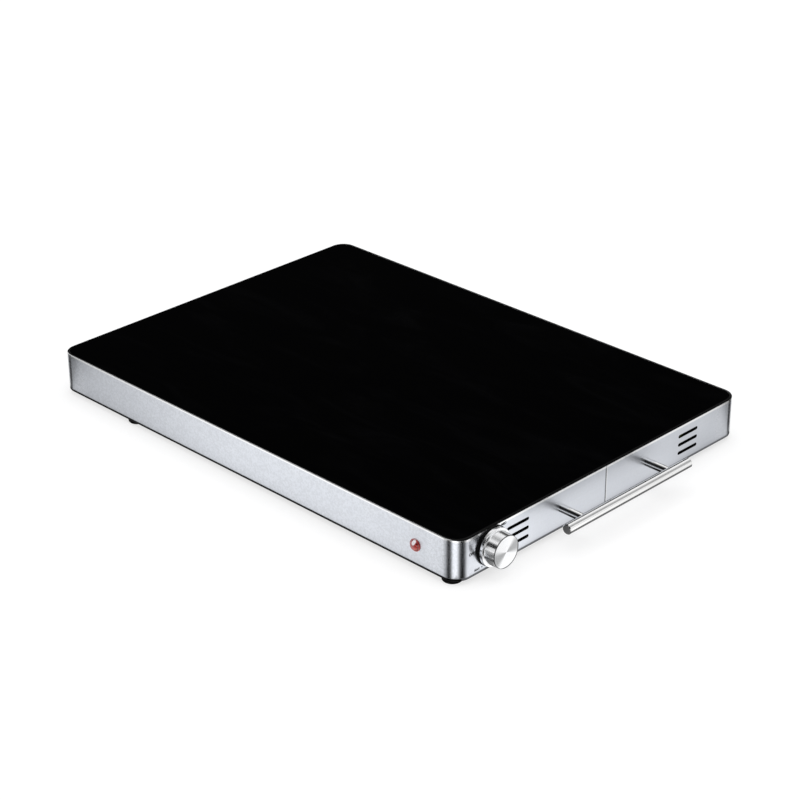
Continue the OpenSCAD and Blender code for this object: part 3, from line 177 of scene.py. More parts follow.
class Material(Finish):
    """A finish of the tray: one Principled shader and what feeds it."""

    def __init__(self, name, **constants):
        self.data = bpy.data.materials.new(name)
        self.data.use_nodes = True
        super().__init__(self.data.node_tree)
        self.shader = self.nodes.new("ShaderNodeBsdfPrincipled")
        output = self.nodes.new("ShaderNodeOutputMaterial")
        self.links.new(self.shader.outputs[0], output.inputs[0])
        for name, value in constants.items():
            self.set(name, value)

    def set(self, name, value):
        """Feeds a socket of the shader; base_color means Base Color."""
        names = {"ior": "IOR", "specular": "Specular IOR Level"}
        self.feed(self.shader.inputs[names.get(name, name.replace("_", " ").title())], value)

    def relief(self, height, depth, strength=1.0):
        """Raises the surface by height times depth, in metres, through a Bump node."""
        self.set("normal", self.node("ShaderNodeBump", None, {
            "Strength": strength, "Distance": depth, "Height": height}))


# ---------------------------------------------------------------- finishes

BODY_MIDDLE = -0.0185                          # the tray body's middle along X
HALF_LENGTH, HALF_WIDTH, CORNER_RADIUS = 0.305, 0.220, 0.0175
FAR_FACE, END_FACE = -0.3235, 0.2865           # the ends' faces along X; END_FACE has the knob
BORDER_FOOT, SHADE_LINE_TOP = 0.0507, 0.0085          # heights of the black border's foot and of the top of the painted shade line along the band's bottom
SEAM_AT, SEAM_HIGHLIGHT = -0.0009, 0.0008        # the butt joint's gap, and its painted highlight beside it, along Y
SLOT_ASIDE, SLOT_HALF = 0.1334, 0.0141         # a slot's middle along Y, and half its straight run
SLOT_FLOOR, SLOT_PITCH = 0.01295, 0.0098       # where the lowest slot's share of the height starts


def rolling_lines(f, place, fine=2600.0, long=9.0):
    """Brush lines that run along the sheet on every side of the tray: fine ones, and broad ones."""
    x, y, _ = f.parts(place)
    end_gap = HALF_LENGTH - abs(x - BODY_MIDDLE)
    side_gap = HALF_WIDTH - abs(y)
    on_end = (side_gap - end_gap).step(-0.004, 0.004)

    def streaks(scale, stretch, detail):
        along_side = f.noise(f.stretched(place, stretch, scale, scale), 1.0, detail, 0.6)
        along_end = f.noise(f.stretched(place, scale, stretch, scale), 1.0, detail, 0.6)
        return along_side * (1 - on_end) + along_end * on_end

    return streaks(fine, long, 3.0), streaks(fine / 7, long * 0.7, 2.0)


def slot_shade_margin(f, y, z):
    """1 on a painted shade margin round each vent slot of the control end, 0 elsewhere."""
    from_slot = f.largest(abs(abs(y) - SLOT_ASIDE) - SLOT_HALF, 0.0)
    from_row = (((z - SLOT_FLOOR) / SLOT_PITCH).maths("FRACT") - 0.5) * SLOT_PITCH
    near_slot = (from_slot ** 2 + from_row * from_row) ** 0.5
    in_rows = z.step(0.0129, 0.0130) * z.step(0.0430, 0.0429)
    return near_slot.step(0.00200, 0.00180) * in_rows


def brushed_steel():
    """The band's steel: ground lengthwise before it was bent, with a faint cool cast."""
    f = Material("brushed_steel", metallic=1.0, anisotropic=0.4, specular=0.1)
    place = f.place()
    x, y, z = f.parts(place)
    hair, streak = rolling_lines(f, place)
    cloud = f.noise(place, 60.0, 4.0, 0.7)
    mottle = f.noise(place, 430.0, 3.0, 0.65)
    grain = hair * 0.30 + streak * 0.10 + cloud * 0.25 + mottle * 0.35
    steel = f.ramp(grain, (0.32, (0.63, 0.655, 0.71)), (0.50, (0.69, 0.715, 0.765)),
                   (0.68, (0.75, 0.77, 0.81)))
    # The mottling is plain on the long sides and faint on the ends.
    on_end = ((HALF_WIDTH - abs(y)) - (HALF_LENGTH - abs(x - BODY_MIDDLE))).step(-0.012, 0.012)
    steel = f.blend(mottle.step(0.38, 0.62) * (0.42 - on_end * 0.26), steel, (0.46, 0.48, 0.51))
    # The butt joint is dark in its gap, and beside it a painted highlight stands in for light on its
    # bevelled edge.
    at_end = (x - END_FACE).step(-0.0026, -0.0012) * z.step(0.0475, 0.0465)
    seam = at_end * abs(y - SEAM_AT).step(0.0008, 0.0004)
    seam_highlight = at_end * abs(y - SEAM_HIGHLIGHT).step(0.0011, 0.0007)
    steel = f.blend(seam_highlight * 0.7, steel, (0.86, 0.87, 0.88))
    steel = f.blend(seam * 0.75, steel, (0.16, 0.165, 0.175))
    # The turned-over edge has a painted highlight: near-white steel up to the black border round the
    # glass.
    below_edge = BORDER_FOOT - on_end * 0.0013 - z
    roll = (below_edge - on_end * 0.0006).step(0.0022, 0.0015)
    border = below_edge.step(0.0002, -0.0002)
    steel = f.blend(roll, steel, (0.95, 0.955, 0.96))
    # A painted shade line runs along the band's bottom edge, and painted shade blackens the cut edges on
    # the control end and a margin round each vent slot.
    painted_bottom_shade = z.step(SHADE_LINE_TOP, SHADE_LINE_TOP - MM) * (1 - at_end * 0.3)
    facing_end = f.parts(f.place("Normal"))[0]
    # Painted shade: the control end's cut edges, which face sideways, and a margin round each slot are
    # blackened.
    cut = f.largest(at_end * abs(facing_end).step(0.75, 0.35), at_end * slot_shade_margin(f, y, z))
    # dark gathers the painted shade of the edges and of the bottom line, with the black border round the
    # glass.
    dark = f.largest(cut, border, painted_bottom_shade)
    f.set("base_color", f.blend(dark, steel, (0.002, 0.002, 0.002)))
    f.set("metallic", 1 - dark)
    # The four bent corners are smoother than the flat sides.
    grip = (hair * 0.6 + cloud * 0.4).step(0.3, 0.7, 0.19, 0.26)
    corner = (abs(x - BODY_MIDDLE) + abs(y)).step(0.475, 0.4975)
    f.set("roughness", grip + (1 - corner) * 0.13 + border * 0.4 + cut * 0.4)
    f.relief(hair * 0.7 + streak * 0.3, 0.000006)
    return f.data


def stoved_sheet():
    """The base pan: black stoved paint with a faint orange peel."""
    f = Material("black_sheet", specular=0.4)
    place = f.place()
    peel = f.noise(place, 900.0, 3.0, 0.5)
    cloud = f.noise(place, 25.0, 3.0)
    f.set("base_color", f.blend(cloud.step(0.3, 0.7), (0.016, 0.016, 0.017), (0.028, 0.028, 0.029)))
    f.set("roughness", (peel * 0.6 + cloud * 0.4).step(0.3, 0.7, 0.34, 0.48))
    f.relief(peel, 0.00001)
    return f.data


PAINTED_SHADE_COLOUR = (0.02, 0.02, 0.021)


def polished_steel():
    """The handle: drawn bar, ground round and polished. It has painted shade underneath, painted dark
    reflections on the posts' flanks, and painted shade on its sawn ends, which are also rougher."""
    f = Material("polished_steel", metallic=1.0)
    place = f.place()
    rings = f.noise(f.stretched(place, 40.0, 3500.0, 40.0), 1.0, 2.0, 0.6)
    cloud = f.noise(place, 60.0, 2.0)
    along, up = f.parts(f.place("Normal"))[1:]
    # Painted shade and dark reflections: the underside, a stripe on each post's flank and the sawn ends
    # are darkened by their normals.
    painted_under_shade = up.step(0.15, -0.03)
    painted_end_shade = abs(along).step(0.80, 0.95) * f.parts(place)[0].step(0.3110, 0.3125)
    painted_flank_shade = (up * 0.6 - along * 0.8).step(0.90, 0.975)
    tone = rings * 0.6 + cloud * 0.4
    metal = f.ramp(tone, (0.35, (0.88, 0.88, 0.88)), (0.65, (0.97, 0.97, 0.97)))
    metal = f.blend(painted_under_shade * 0.95, metal, PAINTED_SHADE_COLOUR)
    metal = f.blend(painted_flank_shade * 0.9, metal, PAINTED_SHADE_COLOUR)
    f.set("base_color", f.blend(painted_end_shade * 0.85, metal, (0.16, 0.16, 0.16)))
    f.set("roughness", tone.step(0.3, 0.7, 0.10, 0.17) + painted_end_shade * 0.2)
    f.relief(rings, 0.000003)
    return f.data


def turned_aluminium():
    """The knob: lathe-turned, so its fine grooves run round the piece's own Z axis."""
    f = Material("knob_metal", metallic=1.0, anisotropic=0.6, anisotropic_rotation=0.25)
    place = f.place()
    x, y, z = f.parts(place)
    radius = (x * x + y * y) ** 0.5
    ring = f.node("ShaderNodeCombineXYZ", None, {0: radius * 5200.0, 1: z * 5200.0, 2: 0.0})
    groove = f.noise(ring, 1.0, 2.0, 0.7)
    band = f.noise(f.vector("SCALE", ring, 0.12), 1.0, 2.0, 0.6)
    tone = groove * 0.5 + band * 0.5
    metal = f.ramp(tone, (0.30, (0.84, 0.845, 0.86)), (0.70, (0.95, 0.955, 0.965)))
    # The faced front has two dark fans painted in, a painted reflection of a spun finish, and its edge
    # has painted shade, widest below.
    face = z.step(0.0186, 0.0190)
    fan = ((y * y - x * x) * 0.866 - x * y) / (radius * radius + 1e-9)
    metal = f.blend(face * fan.step(0.0, 1.0) * 0.85, metal, (0.30, 0.305, 0.31))
    below = ((x + y) / (radius + 1e-9)).step(0.3, 1.1)
    edge = z.step(0.0183, 0.0187) * (radius + below * 0.0010).step(0.0167, 0.0170)
    f.set("base_color", f.blend(edge * 0.9, metal, PAINTED_SHADE_COLOUR))
    f.set("roughness", tone.step(0.3, 0.7, 0.16, 0.26) + face * 0.08)
    f.relief(groove, 0.000004)
    return f.data


def galvanised_sheet():
    """Zinc-coated sheet: flat crystals in several greys, with rolling marks."""
    f = Material("zinc_sheet", metallic=1.0)
    place = f.place()
    flake = f.node("ShaderNodeSeparateColor", None, {0: f.cells(place, 230.0, out=1)})
    edge = f.cells(place, 230.0, "DISTANCE_TO_EDGE")
    lines = f.noise(f.stretched(place, 6.0, 420.0, 420.0), 1.0, 2.0)
    tone = flake * 0.55 + lines * 0.25 + f.noise(place, 9.0, 3.0) * 0.20
    f.set("base_color", f.ramp(tone, (0.15, (0.37, 0.385, 0.40)), (0.50, (0.50, 0.515, 0.53)),
                               (0.85, (0.63, 0.64, 0.65))))
    f.set("roughness", flake.step(0.0, 1.0, 0.32, 0.52))
    f.relief(edge.step(0.0, 0.12) * 0.5 + lines * 0.5, 0.00001)
    return f.data


def mill_aluminium():
    """Rolled aluminium sheet, straight from the mill."""
    f = Material("aluminium_sheet", metallic=1.0)
    place = f.place()
    lines = f.noise(f.stretched(place, 12.0, 1200.0, 1200.0), 1.0, 3.0, 0.65)
    cloud = f.noise(place, 18.0, 3.0)
    tone = lines * 0.6 + cloud * 0.4
    f.set("base_color", f.ramp(tone, (0.3, (0.66, 0.67, 0.68)), (0.7, (0.80, 0.81, 0.82))))
    f.set("roughness", tone.step(0.3, 0.7, 0.26, 0.42))
    f.relief(lines, 0.000006)
    return f.data


def annealed_sheath():
    """The element's sheath: dark oxide with straw and blue heat tints."""
    f = Material("element_sheath", metallic=1.0)
    place = f.place()
    heat = f.noise(place, 12.0, 3.0, 0.6)
    speck = f.noise(place, 900.0, 2.0)
    tint = f.ramp(heat, (0.30, (0.16, 0.15, 0.14)), (0.48, (0.30, 0.25, 0.19)),
                  (0.62, (0.22, 0.23, 0.28)))
    f.set("base_color", f.blend(speck.step(0.4, 0.75), tint, (0.12, 0.115, 0.11)))
    f.set("roughness", speck.step(0.3, 0.7, 0.42, 0.60))
    f.relief(speck, 0.00001)
    return f.data


def plated(name, dark, light, low, high):
    """Small plated or drawn metal pieces, each a little uneven."""
    f = Material(name, metallic=1.0)
    place = f.place()
    cloud = f.noise(place, 260.0, 3.0, 0.6)
    scratch = f.noise(f.stretched(place, 900.0, 900.0, 5200.0), 1.0, 2.0)
    tone = cloud * 0.6 + scratch * 0.4
    f.set("base_color", f.ramp(tone, (0.3, dark), (0.7, light)))
    f.set("roughness", tone.step(0.3, 0.7, low, high))
    f.relief(scratch, 0.000006)
    return f.data


def black_ceramic_glass():
    """The glass top: black all through, polished, with the faintest wiping marks."""
    f = Material("black_glass", specular=0.05, ior=1.5)
    place = f.place()
    wipe = f.noise(f.stretched(place, 7.0, 26.0, 7.0), 1.0, 4.0, 0.6, 0.8)
    dust = f.cells(place, 900.0)
    haze = wipe.step(0.45, 0.80)
    f.set("base_color", f.blend(haze, (0.0004, 0.0004, 0.0005), (0.0012, 0.0012, 0.0014)))
    f.set("roughness", haze * 0.05 + dust.step(0.10, 0.02) * 0.03 + 0.035)
    f.relief(wipe, 0.000002, 0.3)
    return f.data


def moulded(name, dark, light, low, high, scale=1800.0, depth=0.00002, **constants):
    """Moulded plastic or rubber: a fine even grain with broad, faint patches."""
    f = Material(name, **constants)
    place = f.place()
    grain = f.noise(place, scale, 2.0, 0.6)
    cloud = f.noise(place, 70.0, 3.0)
    f.set("base_color", f.blend(cloud.step(0.3, 0.7), dark, light))
    f.set("roughness", (grain * 0.5 + cloud * 0.5).step(0.3, 0.7, low, high))
    f.relief(grain, depth)
    return f.data


def unglazed_ceramic():
    f = Material("white_ceramic")
    place = f.place()
    cloud = f.noise(place, 120.0, 4.0, 0.6)
    pit = f.cells(place, 1500.0)
    f.set("base_color", f.blend(cloud.step(0.3, 0.7), (0.78, 0.75, 0.68), (0.86, 0.84, 0.78)))
    f.set("roughness", cloud.step(0.3, 0.7, 0.55, 0.8))
    f.relief(pit.step(0.0, 0.35), 0.00002)
    return f.data


def fibre_mat():
    """Needled ceramic fibre: a tangle of fine fibres with needle marks."""
    f = Material("fibre_mat")
    place = f.place()
    tangle = f.noise(place, 700.0, 5.0, 0.7, 2.5)
    needle = f.cells(place, 160.0)
    f.set("base_color", f.blend(tangle.step(0.3, 0.7), (0.72, 0.69, 0.61), (0.86, 0.84, 0.77)))
    f.set("roughness", tangle.step(0.3, 0.7, 0.8, 0.95))
    f.relief(tangle * 0.6 + needle.step(0.0, 0.25) * 0.4, 0.0002)
    return f.data


def lead_sleeve(name, colour, stripe):
    """Braided sleeve of a lead: a diagonal plait in two colours."""
    f = Material(name)
    place = f.place()
    plait = f.node("ShaderNodeTexWave", {"bands_direction": "DIAGONAL"}, {
        "Vector": place, "Scale": 420.0, "Distortion": 1.5, "Detail": 1.0})
    f.set("base_color", f.blend(plait.step(0.35, 0.65), colour, stripe))
    f.set("roughness", plait.step(0.2, 0.8, 0.45, 0.7))
    f.relief(plait, 0.00008)
    return f.data


def red_lens():
    """The lamp's lens: clear red moulding, with painted shade at its rim, a painted brighter lower side
    and a painted highlight on its upper half.
    """
    f = Material("red_lens", ior=1.49, coat_roughness=0.03, specular=0.5)
    place = f.place()
    x, y, _ = f.parts(place)
    spin = f.node("ShaderNodeTexGradient", {"gradient_type": "RADIAL"},
                  {"Vector": f.node("ShaderNodeCombineXYZ", None, {0: x, 1: y, 2: 0.0})})
    fan = abs(((spin * 9.0).maths("FRACT")) - 0.5) * 2.0
    cloud = f.noise(place, 420.0, 2.0)
    # Painted light: the lower side of the lens is made a brighter orange-red.
    painted_lit_lower_side = (y * 0.8 - x * 0.3).step(0.001, -0.004)
    tone = fan * 0.15 + cloud * 0.25 + painted_lit_lower_side * 0.60
    lens = f.ramp(tone, (0.15, (0.32, 0.010, 0.008)), (0.50, (0.68, 0.035, 0.020)),
                  (0.80, (0.90, 0.11, 0.06)))
    radius = (x * x + y * y) ** 0.5
    # Painted shade: a dark ring round the dome's edge.
    painted_rim_shade = radius.step(0.0046, 0.0054) * radius.step(0.0064, 0.0056)
    lens = f.blend(painted_rim_shade * 0.6, lens, (0.10, 0.010, 0.008))
    # Painted highlight: a whitish glint on the upper half of the dome.
    from_glint_x, from_glint_y = x - 0.0006, y - 0.0041
    from_glint = (from_glint_x * from_glint_x * 1.5 + from_glint_y * from_glint_y) ** 0.5
    painted_glint = from_glint.step(0.0031, 0.0019) * (cloud * 0.3 + 0.80)
    lens = f.blend(painted_glint, lens, (0.90, 0.88, 0.90))
    f.set("base_color", lens)
    f.set("roughness", cloud.step(0.3, 0.7, 0.05, 0.10))
    f.set("coat_weight", cloud.step(0.0, 0.2, 0.8, 1.0))
    return f.data


def dial_ink():
    """Black ink printed on the band."""
    f = Material("dial_ink")
    place = f.place()
    grain = f.noise(place, 2400.0, 2.0)
    f.set("base_color", f.blend(grain.step(0.3, 0.7), (0.004, 0.004, 0.004), (0.010, 0.010, 0.011)))
    f.set("roughness", grain.step(0.3, 0.7, 0.4, 0.6))
    return f.data


DIAL_INK = dial_ink()
FINISHES = {
    "brushed_steel": brushed_steel(),
    "polished_steel": polished_steel(),
    "knob_metal": turned_aluminium(),
    "zinc_sheet": galvanised_sheet(),
    "black_sheet": stoved_sheet(),
    "aluminium_sheet": mill_aluminium(),
    "element_sheath": annealed_sheath(),
    "black_glass": black_ceramic_glass(),
    "white_ceramic": unglazed_ceramic(),
    "fibre_mat": fibre_mat(),
    "red_lens": red_lens(),
}
# Small metal pieces: the dark and light ends of their colour, and of their roughness.
for slot, recipe in {
    "zinc_hardware": ((0.52, 0.53, 0.54), (0.70, 0.71, 0.72), 0.22, 0.38),
    "brass_hardware": ((0.60, 0.43, 0.17), (0.80, 0.62, 0.30), 0.20, 0.36),
    "copper_tube": ((0.55, 0.27, 0.16), (0.78, 0.42, 0.27), 0.22, 0.40),
}.items():
    FINISHES[slot] = plated(slot, *recipe)
# Mouldings: the same, then the grain's scale and depth where they differ, and other constants.
for slot, recipe, constants in (
    ("black_silicone", ((0.012,) * 3, (0.022,) * 3, 0.5, 0.7), {}),
    ("black_rubber", ((0.003,) * 3, (0.007,) * 3, 0.55, 0.8, 1200.0, 0.00005), {"specular": 0.1}),
    ("black_plastic", ((0.002,) * 3, (0.004,) * 3, 0.45, 0.60), {"specular": 0.08}),
    ("brown_phenolic", ((0.10, 0.05, 0.028), (0.18, 0.10, 0.055), 0.35, 0.55), {}),
):
    FINISHES[slot] = moulded(slot, *recipe, **constants)
for slot, colour, stripe in (
    ("lead_sleeve", (0.62, 0.60, 0.54), (0.80, 0.78, 0.72)),
    ("earth_sleeve", (0.10, 0.36, 0.05), (0.75, 0.70, 0.06)),
):
    FINISHES[slot] = lead_sleeve(slot, colour, stripe)

for part in frame["record"]["subparts"]:
    mesh = frame["nodes"][part["node"]].data
    mesh.materials.clear()
    mesh.materials.append(FINISHES[part["material_slot"]])


# ---------------------------------------------------------------- pieces

def new_piece(name, mesh, finish, body):
    """Puts a mesh in the scene with its finish, riding on a body."""
    piece = bpy.data.objects.new(name, mesh)
    bpy.context.scene.collection.objects.link(piece)
    mesh.materials.append(finish)
    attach(piece, body)
    return piece


def round_outline(radius, sides=24):
    """Points of a circle."""
    angles = [2 * math.pi * i / sides for i in range(sides)]
    return [(radius * math.cos(angle), radius * math.sin(angle)) for angle in angles]


def turned_mesh(name, profile, sides):
    """Revolves (radius, height) points round Z; points at radius 0 close the ends."""
    bm = bmesh.new()
    rings = []
    for radius, height in profile:
        if radius == 0:
            rings.append([bm.verts.new((0, 0, height))])
        else:
            rings.append([bm.verts.new((u, v, height)) for u, v in round_outline(radius, sides)])
    for low, high in zip(rings, rings[1:]):
        for i in range(sides):
            j = (i + 1) % sides
            corners = [low[i % len(low)], low[j % len(low)], high[j % len(high)], high[i % len(high)]]
            bm.faces.new(list(dict.fromkeys(corners)))
    bmesh.ops.recalc_face_normals(bm, faces=bm.faces)
    mesh = bpy.data.meshes.new(name)
    bm.to_mesh(mesh)
    bm.free()
    for face in mesh.polygons:
        face.use_smooth = True
    return mesh


def rounded(points, reach, steps=4):
    """Rounds the inner corners of an open outline of (radius, height) points."""
    result = [points[0]]
    for before, corner, after in zip(points, points[1:], points[2:]):
        c = Vector(corner)
        back, ahead = Vector(before) - c, Vector(after) - c
        cut = min(reach, back.length / 2.2, ahead.length / 2.2)
        a, b = c + back.normalized() * cut, c + ahead.normalized() * cut
        for k in range(steps + 1):
            t = k / steps
            result.append(tuple((1 - t) ** 2 * a + 2 * t * (1 - t) * c + t * t * b))
    result.append(points[-1])
    return result


def turned_piece(name, outline, reach, sides, place, turn_axis, body, slot, node):
    """Turns an outline in millimetres round the axis of a CAD node, and puts it in that node's place."""
    profile = [(radius * MM, height * MM) for radius, height in rounded(outline, reach)]
    piece = new_piece(name, turned_mesh(name, profile, sides), FINISHES[slot], body)
    turn = Matrix.Rotation(math.radians(90), 4, turn_axis)
    piece.matrix_world = Matrix.Translation(place) @ turn
    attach(piece, body)
    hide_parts(node)


# The knob: a finer turned shell, with its fine grooves round its own axis, which points to +X.
turned_piece("knob_cap",
             [(0, 19.3), (17.4, 19.3), (17.9, 6.7), (20.5, 6.5), (20.5, 2.9), (17.4, 2.9), (15.4, 4.9),
              (15.4, 17.3), (0, 17.3)],
             0.5, 160, (END_FACE, -0.1712, 0.0294), "Y", "knob", "knob_metal", "knob_shell")

# The lamp's lens: a bezel and a smooth dome, turned round the lamp's axis, which points to -Y.
turned_piece("lamp_dome",
             [(0, 4.4), (2.2, 4.2), (4.2, 3.3), (5.4, 2.0), (5.8, 1.3), (6.3, 1.35), (6.7, 0.9),
              (6.7, 0.0), (0, 0.0)],
             0.9, 96, (0.2315, -0.220, 0.0275), "X", "tray", "red_lens", "lamp_lens")


# ---------------------------------------------------------------- dial print

PRINT_RISE = 0.00004                 # how far the ink stands proud of the band


def on_end_face(name, mesh, across, height):
    """Lays a flat mesh, drawn in X and Y, on the control end's face: X goes along Y, and Y up."""
    turn = Matrix(((0, 0, 1), (1, 0, 0), (0, 1, 0))).to_4x4()
    mesh.transform(Matrix.Translation((END_FACE, across, height)) @ turn)
    return new_piece(name, mesh, DIAL_INK, "tray")


def printed_word(text, across, height, size):
    """A word in bold capitals, centred on the point given."""
    letters = bpy.data.curves.new("print_" + text.lower(), "FONT")
    letters.body, letters.size = text, size
    letters.align_x, letters.align_y = "CENTER", "CENTER"
    letters.extrude, letters.offset = PRINT_RISE, size * 0.055
    stencil = bpy.data.objects.new("stencil", letters)
    bpy.context.scene.collection.objects.link(stencil)
    bpy.context.view_layer.update()
    graph = bpy.context.evaluated_depsgraph_get()
    mesh = bpy.data.meshes.new_from_object(stencil.evaluated_get(graph))
    bpy.data.objects.remove(stencil)
    on_end_face("print_" + text.lower(), mesh, across, height)


def printed_dot(name, points, across, height):
    """A small solid mark with the given outline, with bevelled upper edges."""
    bm = bmesh.new()
    low = [bm.verts.new((u, v, 0)) for u, v in points]
    high = [bm.verts.new((u * 0.94, v * 0.94, PRINT_RISE)) for u, v in points]
    bm.faces.new(low[::-1])
    bm.faces.new(high)
    for i in range(len(points)):
        j = (i + 1) % len(points)
        bm.faces.new((low[i], low[j], high[j], high[i]))
    mesh = bpy.data.meshes.new(name)
    bm.to_mesh(mesh)
    bm.free()
    on_end_face(name, mesh, across, height)


def bar_outline(length, width):
    """Outline of a bar with round ends."""
    half, r = length / 2 - width / 2, width / 2
    angles = [math.pi * (k / 8 - 0.5) for k in range(9)]
    right = [(half + r * math.cos(a), r * math.sin(a)) for a in angles]
    return right + [(-u, -v) for u, v in right]


printed_word("OFF", -0.1990, 0.0311, 0.0043)
printed_dot("print_off_dash", bar_outline(0.0016, 0.0006), -0.1937, 0.0311)
printed_word("MAX", -0.1915, 0.0108, 0.0034)
printed_dot("print_max_dot", round_outline(0.0009), -0.1846, 0.0111)
printed_word("MED", -0.1542, 0.0461, 0.0037)


# ---------------------------------------------------------------- stage

WHITE = (1.0, 1.0, 1.0)
FLOOR_GLOW = 0.68                    # brings the lit floor just up to white for the camera
RISE_LONG, RISE_END = 0.986, 1.014   # how far a mirrored floor point is carried along the side,
                                     # for each metre that it lies away from it
TO_CAMERA = (0.703, -0.711)          # the level direction from the tray to the photograph's viewpoint


def beam(f, x, y, start, heading):
    """How far a floor point lies to the side of a line from start along heading, as the turn of
    the front corner's face (in radians) that mirrors it, and how far along the line it lies."""
    dx, dy = x - start[0], y - start[1]
    along = dx * heading[0] + dy * heading[1]
    aside = dy * heading[0] - dx * heading[1]
    return aside / (f.largest(along, 0.0) * 2.0 + CORNER_RADIUS), along.step(-0.004, 0.0)


def floor_in_metal(f):
    """What metal mirrors of the floor: pale cards beside the tray, with two dark gaps at the
    front corner."""
    x, y, _ = f.parts(f.place())
    from_long, from_end = -HALF_WIDTH - y, x - END_FACE
    long_x, end_y = x + from_long * RISE_LONG, y - from_end * RISE_END
    beside_long = f.ramp((long_x + 0.33) / 0.62, (0.005, 0.05), (0.020, 0.25), (0.035, 0.58),
                         (0.21, 0.69), (0.37, 0.86), (0.48, 0.95), (0.75, 0.975), (0.89, 0.93),
                         (0.96, 0.88))
    beside_long = beside_long * from_long.step(0.0, 0.06, 0.95, 1.05)
    beside_end = f.ramp((end_y + HALF_WIDTH) / (2 * HALF_WIDTH), (0.05, 0.95), (0.17, 1.15),
                        (0.27, 0.90), (0.50, 0.82), (0.61, 0.76), (0.73, 0.78), (0.82, 0.67),
                        (0.95, 0.68), (0.978, 0.64), (0.988, 0.40), (1.0, 0.03))
    at_back = end_y.step(0.10, 0.18)
    beside_end = beside_end * (from_end.step(0.012, 0.055, 1.04, 0.94) * (1 - at_back)
                               + from_end.step(0.012, 0.055, 0.92, 1.15) * at_back)
    share = (x + y - (END_FACE - HALF_WIDTH)).step(-0.01, 0.01)
    level = (beside_long * (1 - share) + beside_end * share) * 1.2
    left, on_left = beam(f, x, y, (0.2751, -0.2189), (-0.07, -0.9976))
    right, on_right = beam(f, x, y, (0.2846, -0.2104), (0.9882, -0.1530))
    left_gap = f.ramp(left + 0.5, (0.10, 1.0), (0.27, 0.62), (0.38, 0.25), (0.46, 0.0), (0.53, 0.0),
                      (0.63, 0.15), (0.72, 0.70), (0.80, 1.0))
    right_gap = f.ramp(right + 0.5, (0.16, 1.0), (0.26, 0.60), (0.36, 0.18), (0.44, 0.0), (0.58, 0.0),
                       (0.67, 0.15), (0.76, 0.50), (0.86, 1.0))
    between = left.step(0.10, 0.25) * right.step(-0.10, -0.25)
    level = (level + between * 0.40) * (1 - on_left * (1 - left_gap)) * (1 - on_right * (1 - right_gap))
    # Behind the tray the floor is plainly pale, and round the foot of the tray a painted shadow darkens
    # what metal mirrors.
    in_front = f.largest(from_long, from_end)
    behind = f.largest(y - HALF_WIDTH, FAR_FACE - x)
    level = in_front.step(-0.001, 0.001) * (level - 0.80) + 0.80
    painted_foot_shadow = f.largest(in_front, behind).step(0.004, 0.011)
    return level * (painted_foot_shadow * 0.85 + 0.15)


def stage_floor():
    """A pale floor: white to the camera, also far away, and still darker in the tray's shadow."""
    bm = bmesh.new()
    bmesh.ops.create_grid(bm, x_segments=2, y_segments=2, size=12.0)
    mesh = bpy.data.meshes.new("floor")
    bm.to_mesh(mesh)
    bm.free()
    floor = bpy.data.objects.new("floor", mesh)
    bpy.context.scene.collection.objects.link(floor)
    data = bpy.data.materials.new("floor")
    data.use_nodes = True
    f = Finish(data.node_tree)
    path = f.node("ShaderNodeLightPath").socket.node.outputs
    seen = f.largest(Value(f, path["Is Camera Ray"]), Value(f, path["Is Transmission Ray"]))
    shade = f.node("ShaderNodeBsdfDiffuse", None, {"Color": (0.34, 0.34, 0.34)})
    x, y, _ = f.parts(f.place())
    far = ((x * x + y * y) ** 0.5).step(0.7, 3.5) * 0.40
    glow = f.node("ShaderNodeEmission", None, {"Color": seen * (far + FLOOR_GLOW)})
    plain = f.node("ShaderNodeAddShader", None, {0: shade, 1: glow})
    mirrored = f.node("ShaderNodeEmission", None, {"Color": floor_in_metal(f)})
    in_mirror = Value(f, path["Is Glossy Ray"])
    total = f.node("ShaderNodeMixShader", None, {0: in_mirror, 1: plain, 2: mirrored})
    f.node("ShaderNodeOutputMaterial", None, {0: total})
    mesh.materials.append(data)


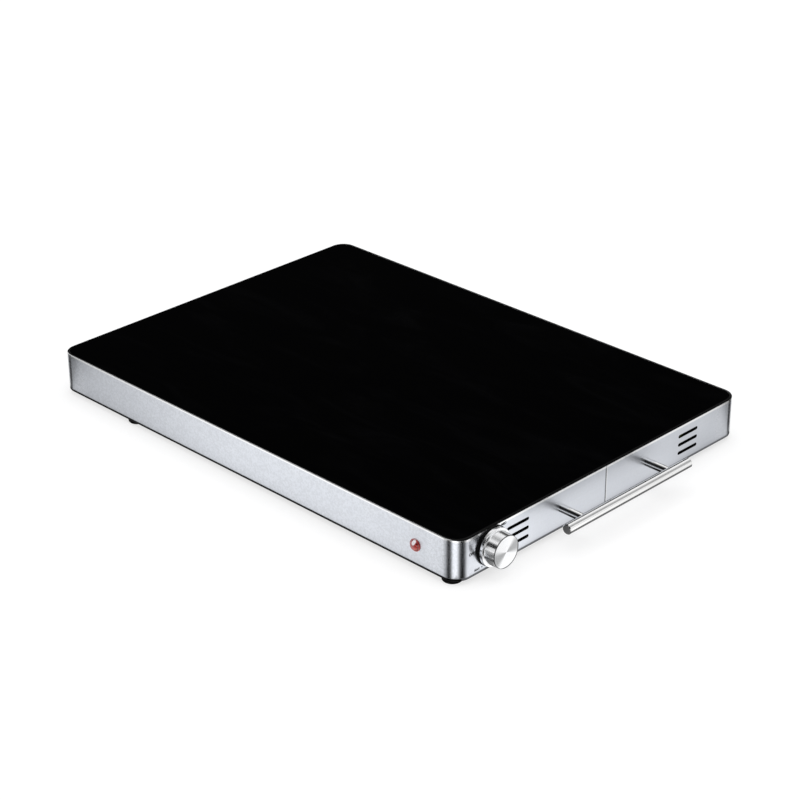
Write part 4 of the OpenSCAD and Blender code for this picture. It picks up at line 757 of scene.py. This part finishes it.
def studio_world():
    """White to the camera; in reflections a white room with three dark cards and one grey strip."""
    world = bpy.data.worlds.new("studio")
    world.use_nodes = True
    bpy.context.scene.world = world
    f = Finish(world.node_tree)
    path = f.node("ShaderNodeLightPath").socket.node.outputs
    x, y, z = f.parts(f.place("Generated"))
    back = y * -TO_CAMERA[1] - x * TO_CAMERA[0]
    side = x * -TO_CAMERA[1] + y * TO_CAMERA[0]
    above = z.step(0.10, 0.30)
    strip = f.ramp(back, (0.04, 1.0), (0.13, 0.36), (0.28, 0.36), (0.42, 0.75), (0.58, 1.0))
    level = f.blend(above, WHITE, strip * above)
    behind = back.step(0.68, 0.80) * z.step(0.20, 0.30) * z.step(0.66, 0.56)
    before = back.step(-0.45, -0.70) * z.step(0.14, 0.24) * z.step(0.76, 0.66)
    beside = side.step(-0.45, -0.62) * z.step(0.34, 0.42) * z.step(0.77, 0.69)
    mirrored = f.blend(f.largest(behind, before, beside), level, (0.02, 0.02, 0.02))
    to_camera, to_mirror, through = [Value(f, path[kind]) for kind in (
        "Is Camera Ray", "Is Glossy Ray", "Is Transmission Ray")]
    seen = f.blend(to_camera, mirrored, WHITE)
    colour = f.blend(f.largest(to_camera, to_mirror, through), (0.62, 0.62, 0.63), seen)
    ground = f.node("ShaderNodeBackground", None, {"Color": colour, "Strength": 1.0})
    f.node("ShaderNodeOutputWorld", None, {0: ground})


def soft_lamp(name, place, aim, size, watts):
    """A wide area lamp that lights the tray and isn't mirrored in it."""
    data = bpy.data.lights.new(name, "AREA")
    data.shape = "RECTANGLE"
    data.size, data.size_y = size
    data.energy = watts
    lamp = bpy.data.objects.new(name, data)
    bpy.context.scene.collection.objects.link(lamp)
    lamp.location = place
    lamp.visible_glossy = False
    lamp.rotation_euler = (Vector(aim) - Vector(place)).to_track_quat("-Z", "Y").to_euler()
    return lamp


def photo_camera():
    """The photograph's viewpoint, on a long lens; the angles are its azimuth, height and roll."""
    data = bpy.data.cameras.new("camera")
    data.lens, data.sensor_width = 97.44, 36.0
    data.clip_end = 50.0
    camera = bpy.data.objects.new("camera", data)
    bpy.context.scene.collection.objects.link(camera)
    around, up_angle, roll = map(math.radians, (44.8035, 26.8495, -0.2685))
    level = Vector((math.sin(around), -math.cos(around), 0)) * math.cos(up_angle)
    back = level + Vector((0, 0, math.sin(up_angle)))
    right = (-back).cross(Vector((0, 0, 1))).normalized()
    up = right.cross(-back)
    right, up = (right * math.cos(roll) + up * math.sin(roll),
                 up * math.cos(roll) - right * math.sin(roll))
    turn = Matrix((right, up, back)).transposed().to_4x4()
    camera.matrix_world = Matrix.Translation((1.48971, -1.50683, 1.09529)) @ turn
    bpy.context.scene.camera = camera


stage_floor()
studio_world()
photo_camera()
soft_lamp("overhead", (0.0, 0.1, 2.2), (0, 0, 0), (2.4, 2.0), 24.0)
soft_lamp("front_left", (-0.6, -2.2, 1.5), (0, 0, 0.02), (1.6, 1.2), 13.0)
soft_lamp("right", (2.4, 0.6, 1.3), (0, 0, 0.02), (1.6, 1.2), 11.0)
bpy.context.scene.view_settings.view_transform = "Standard"
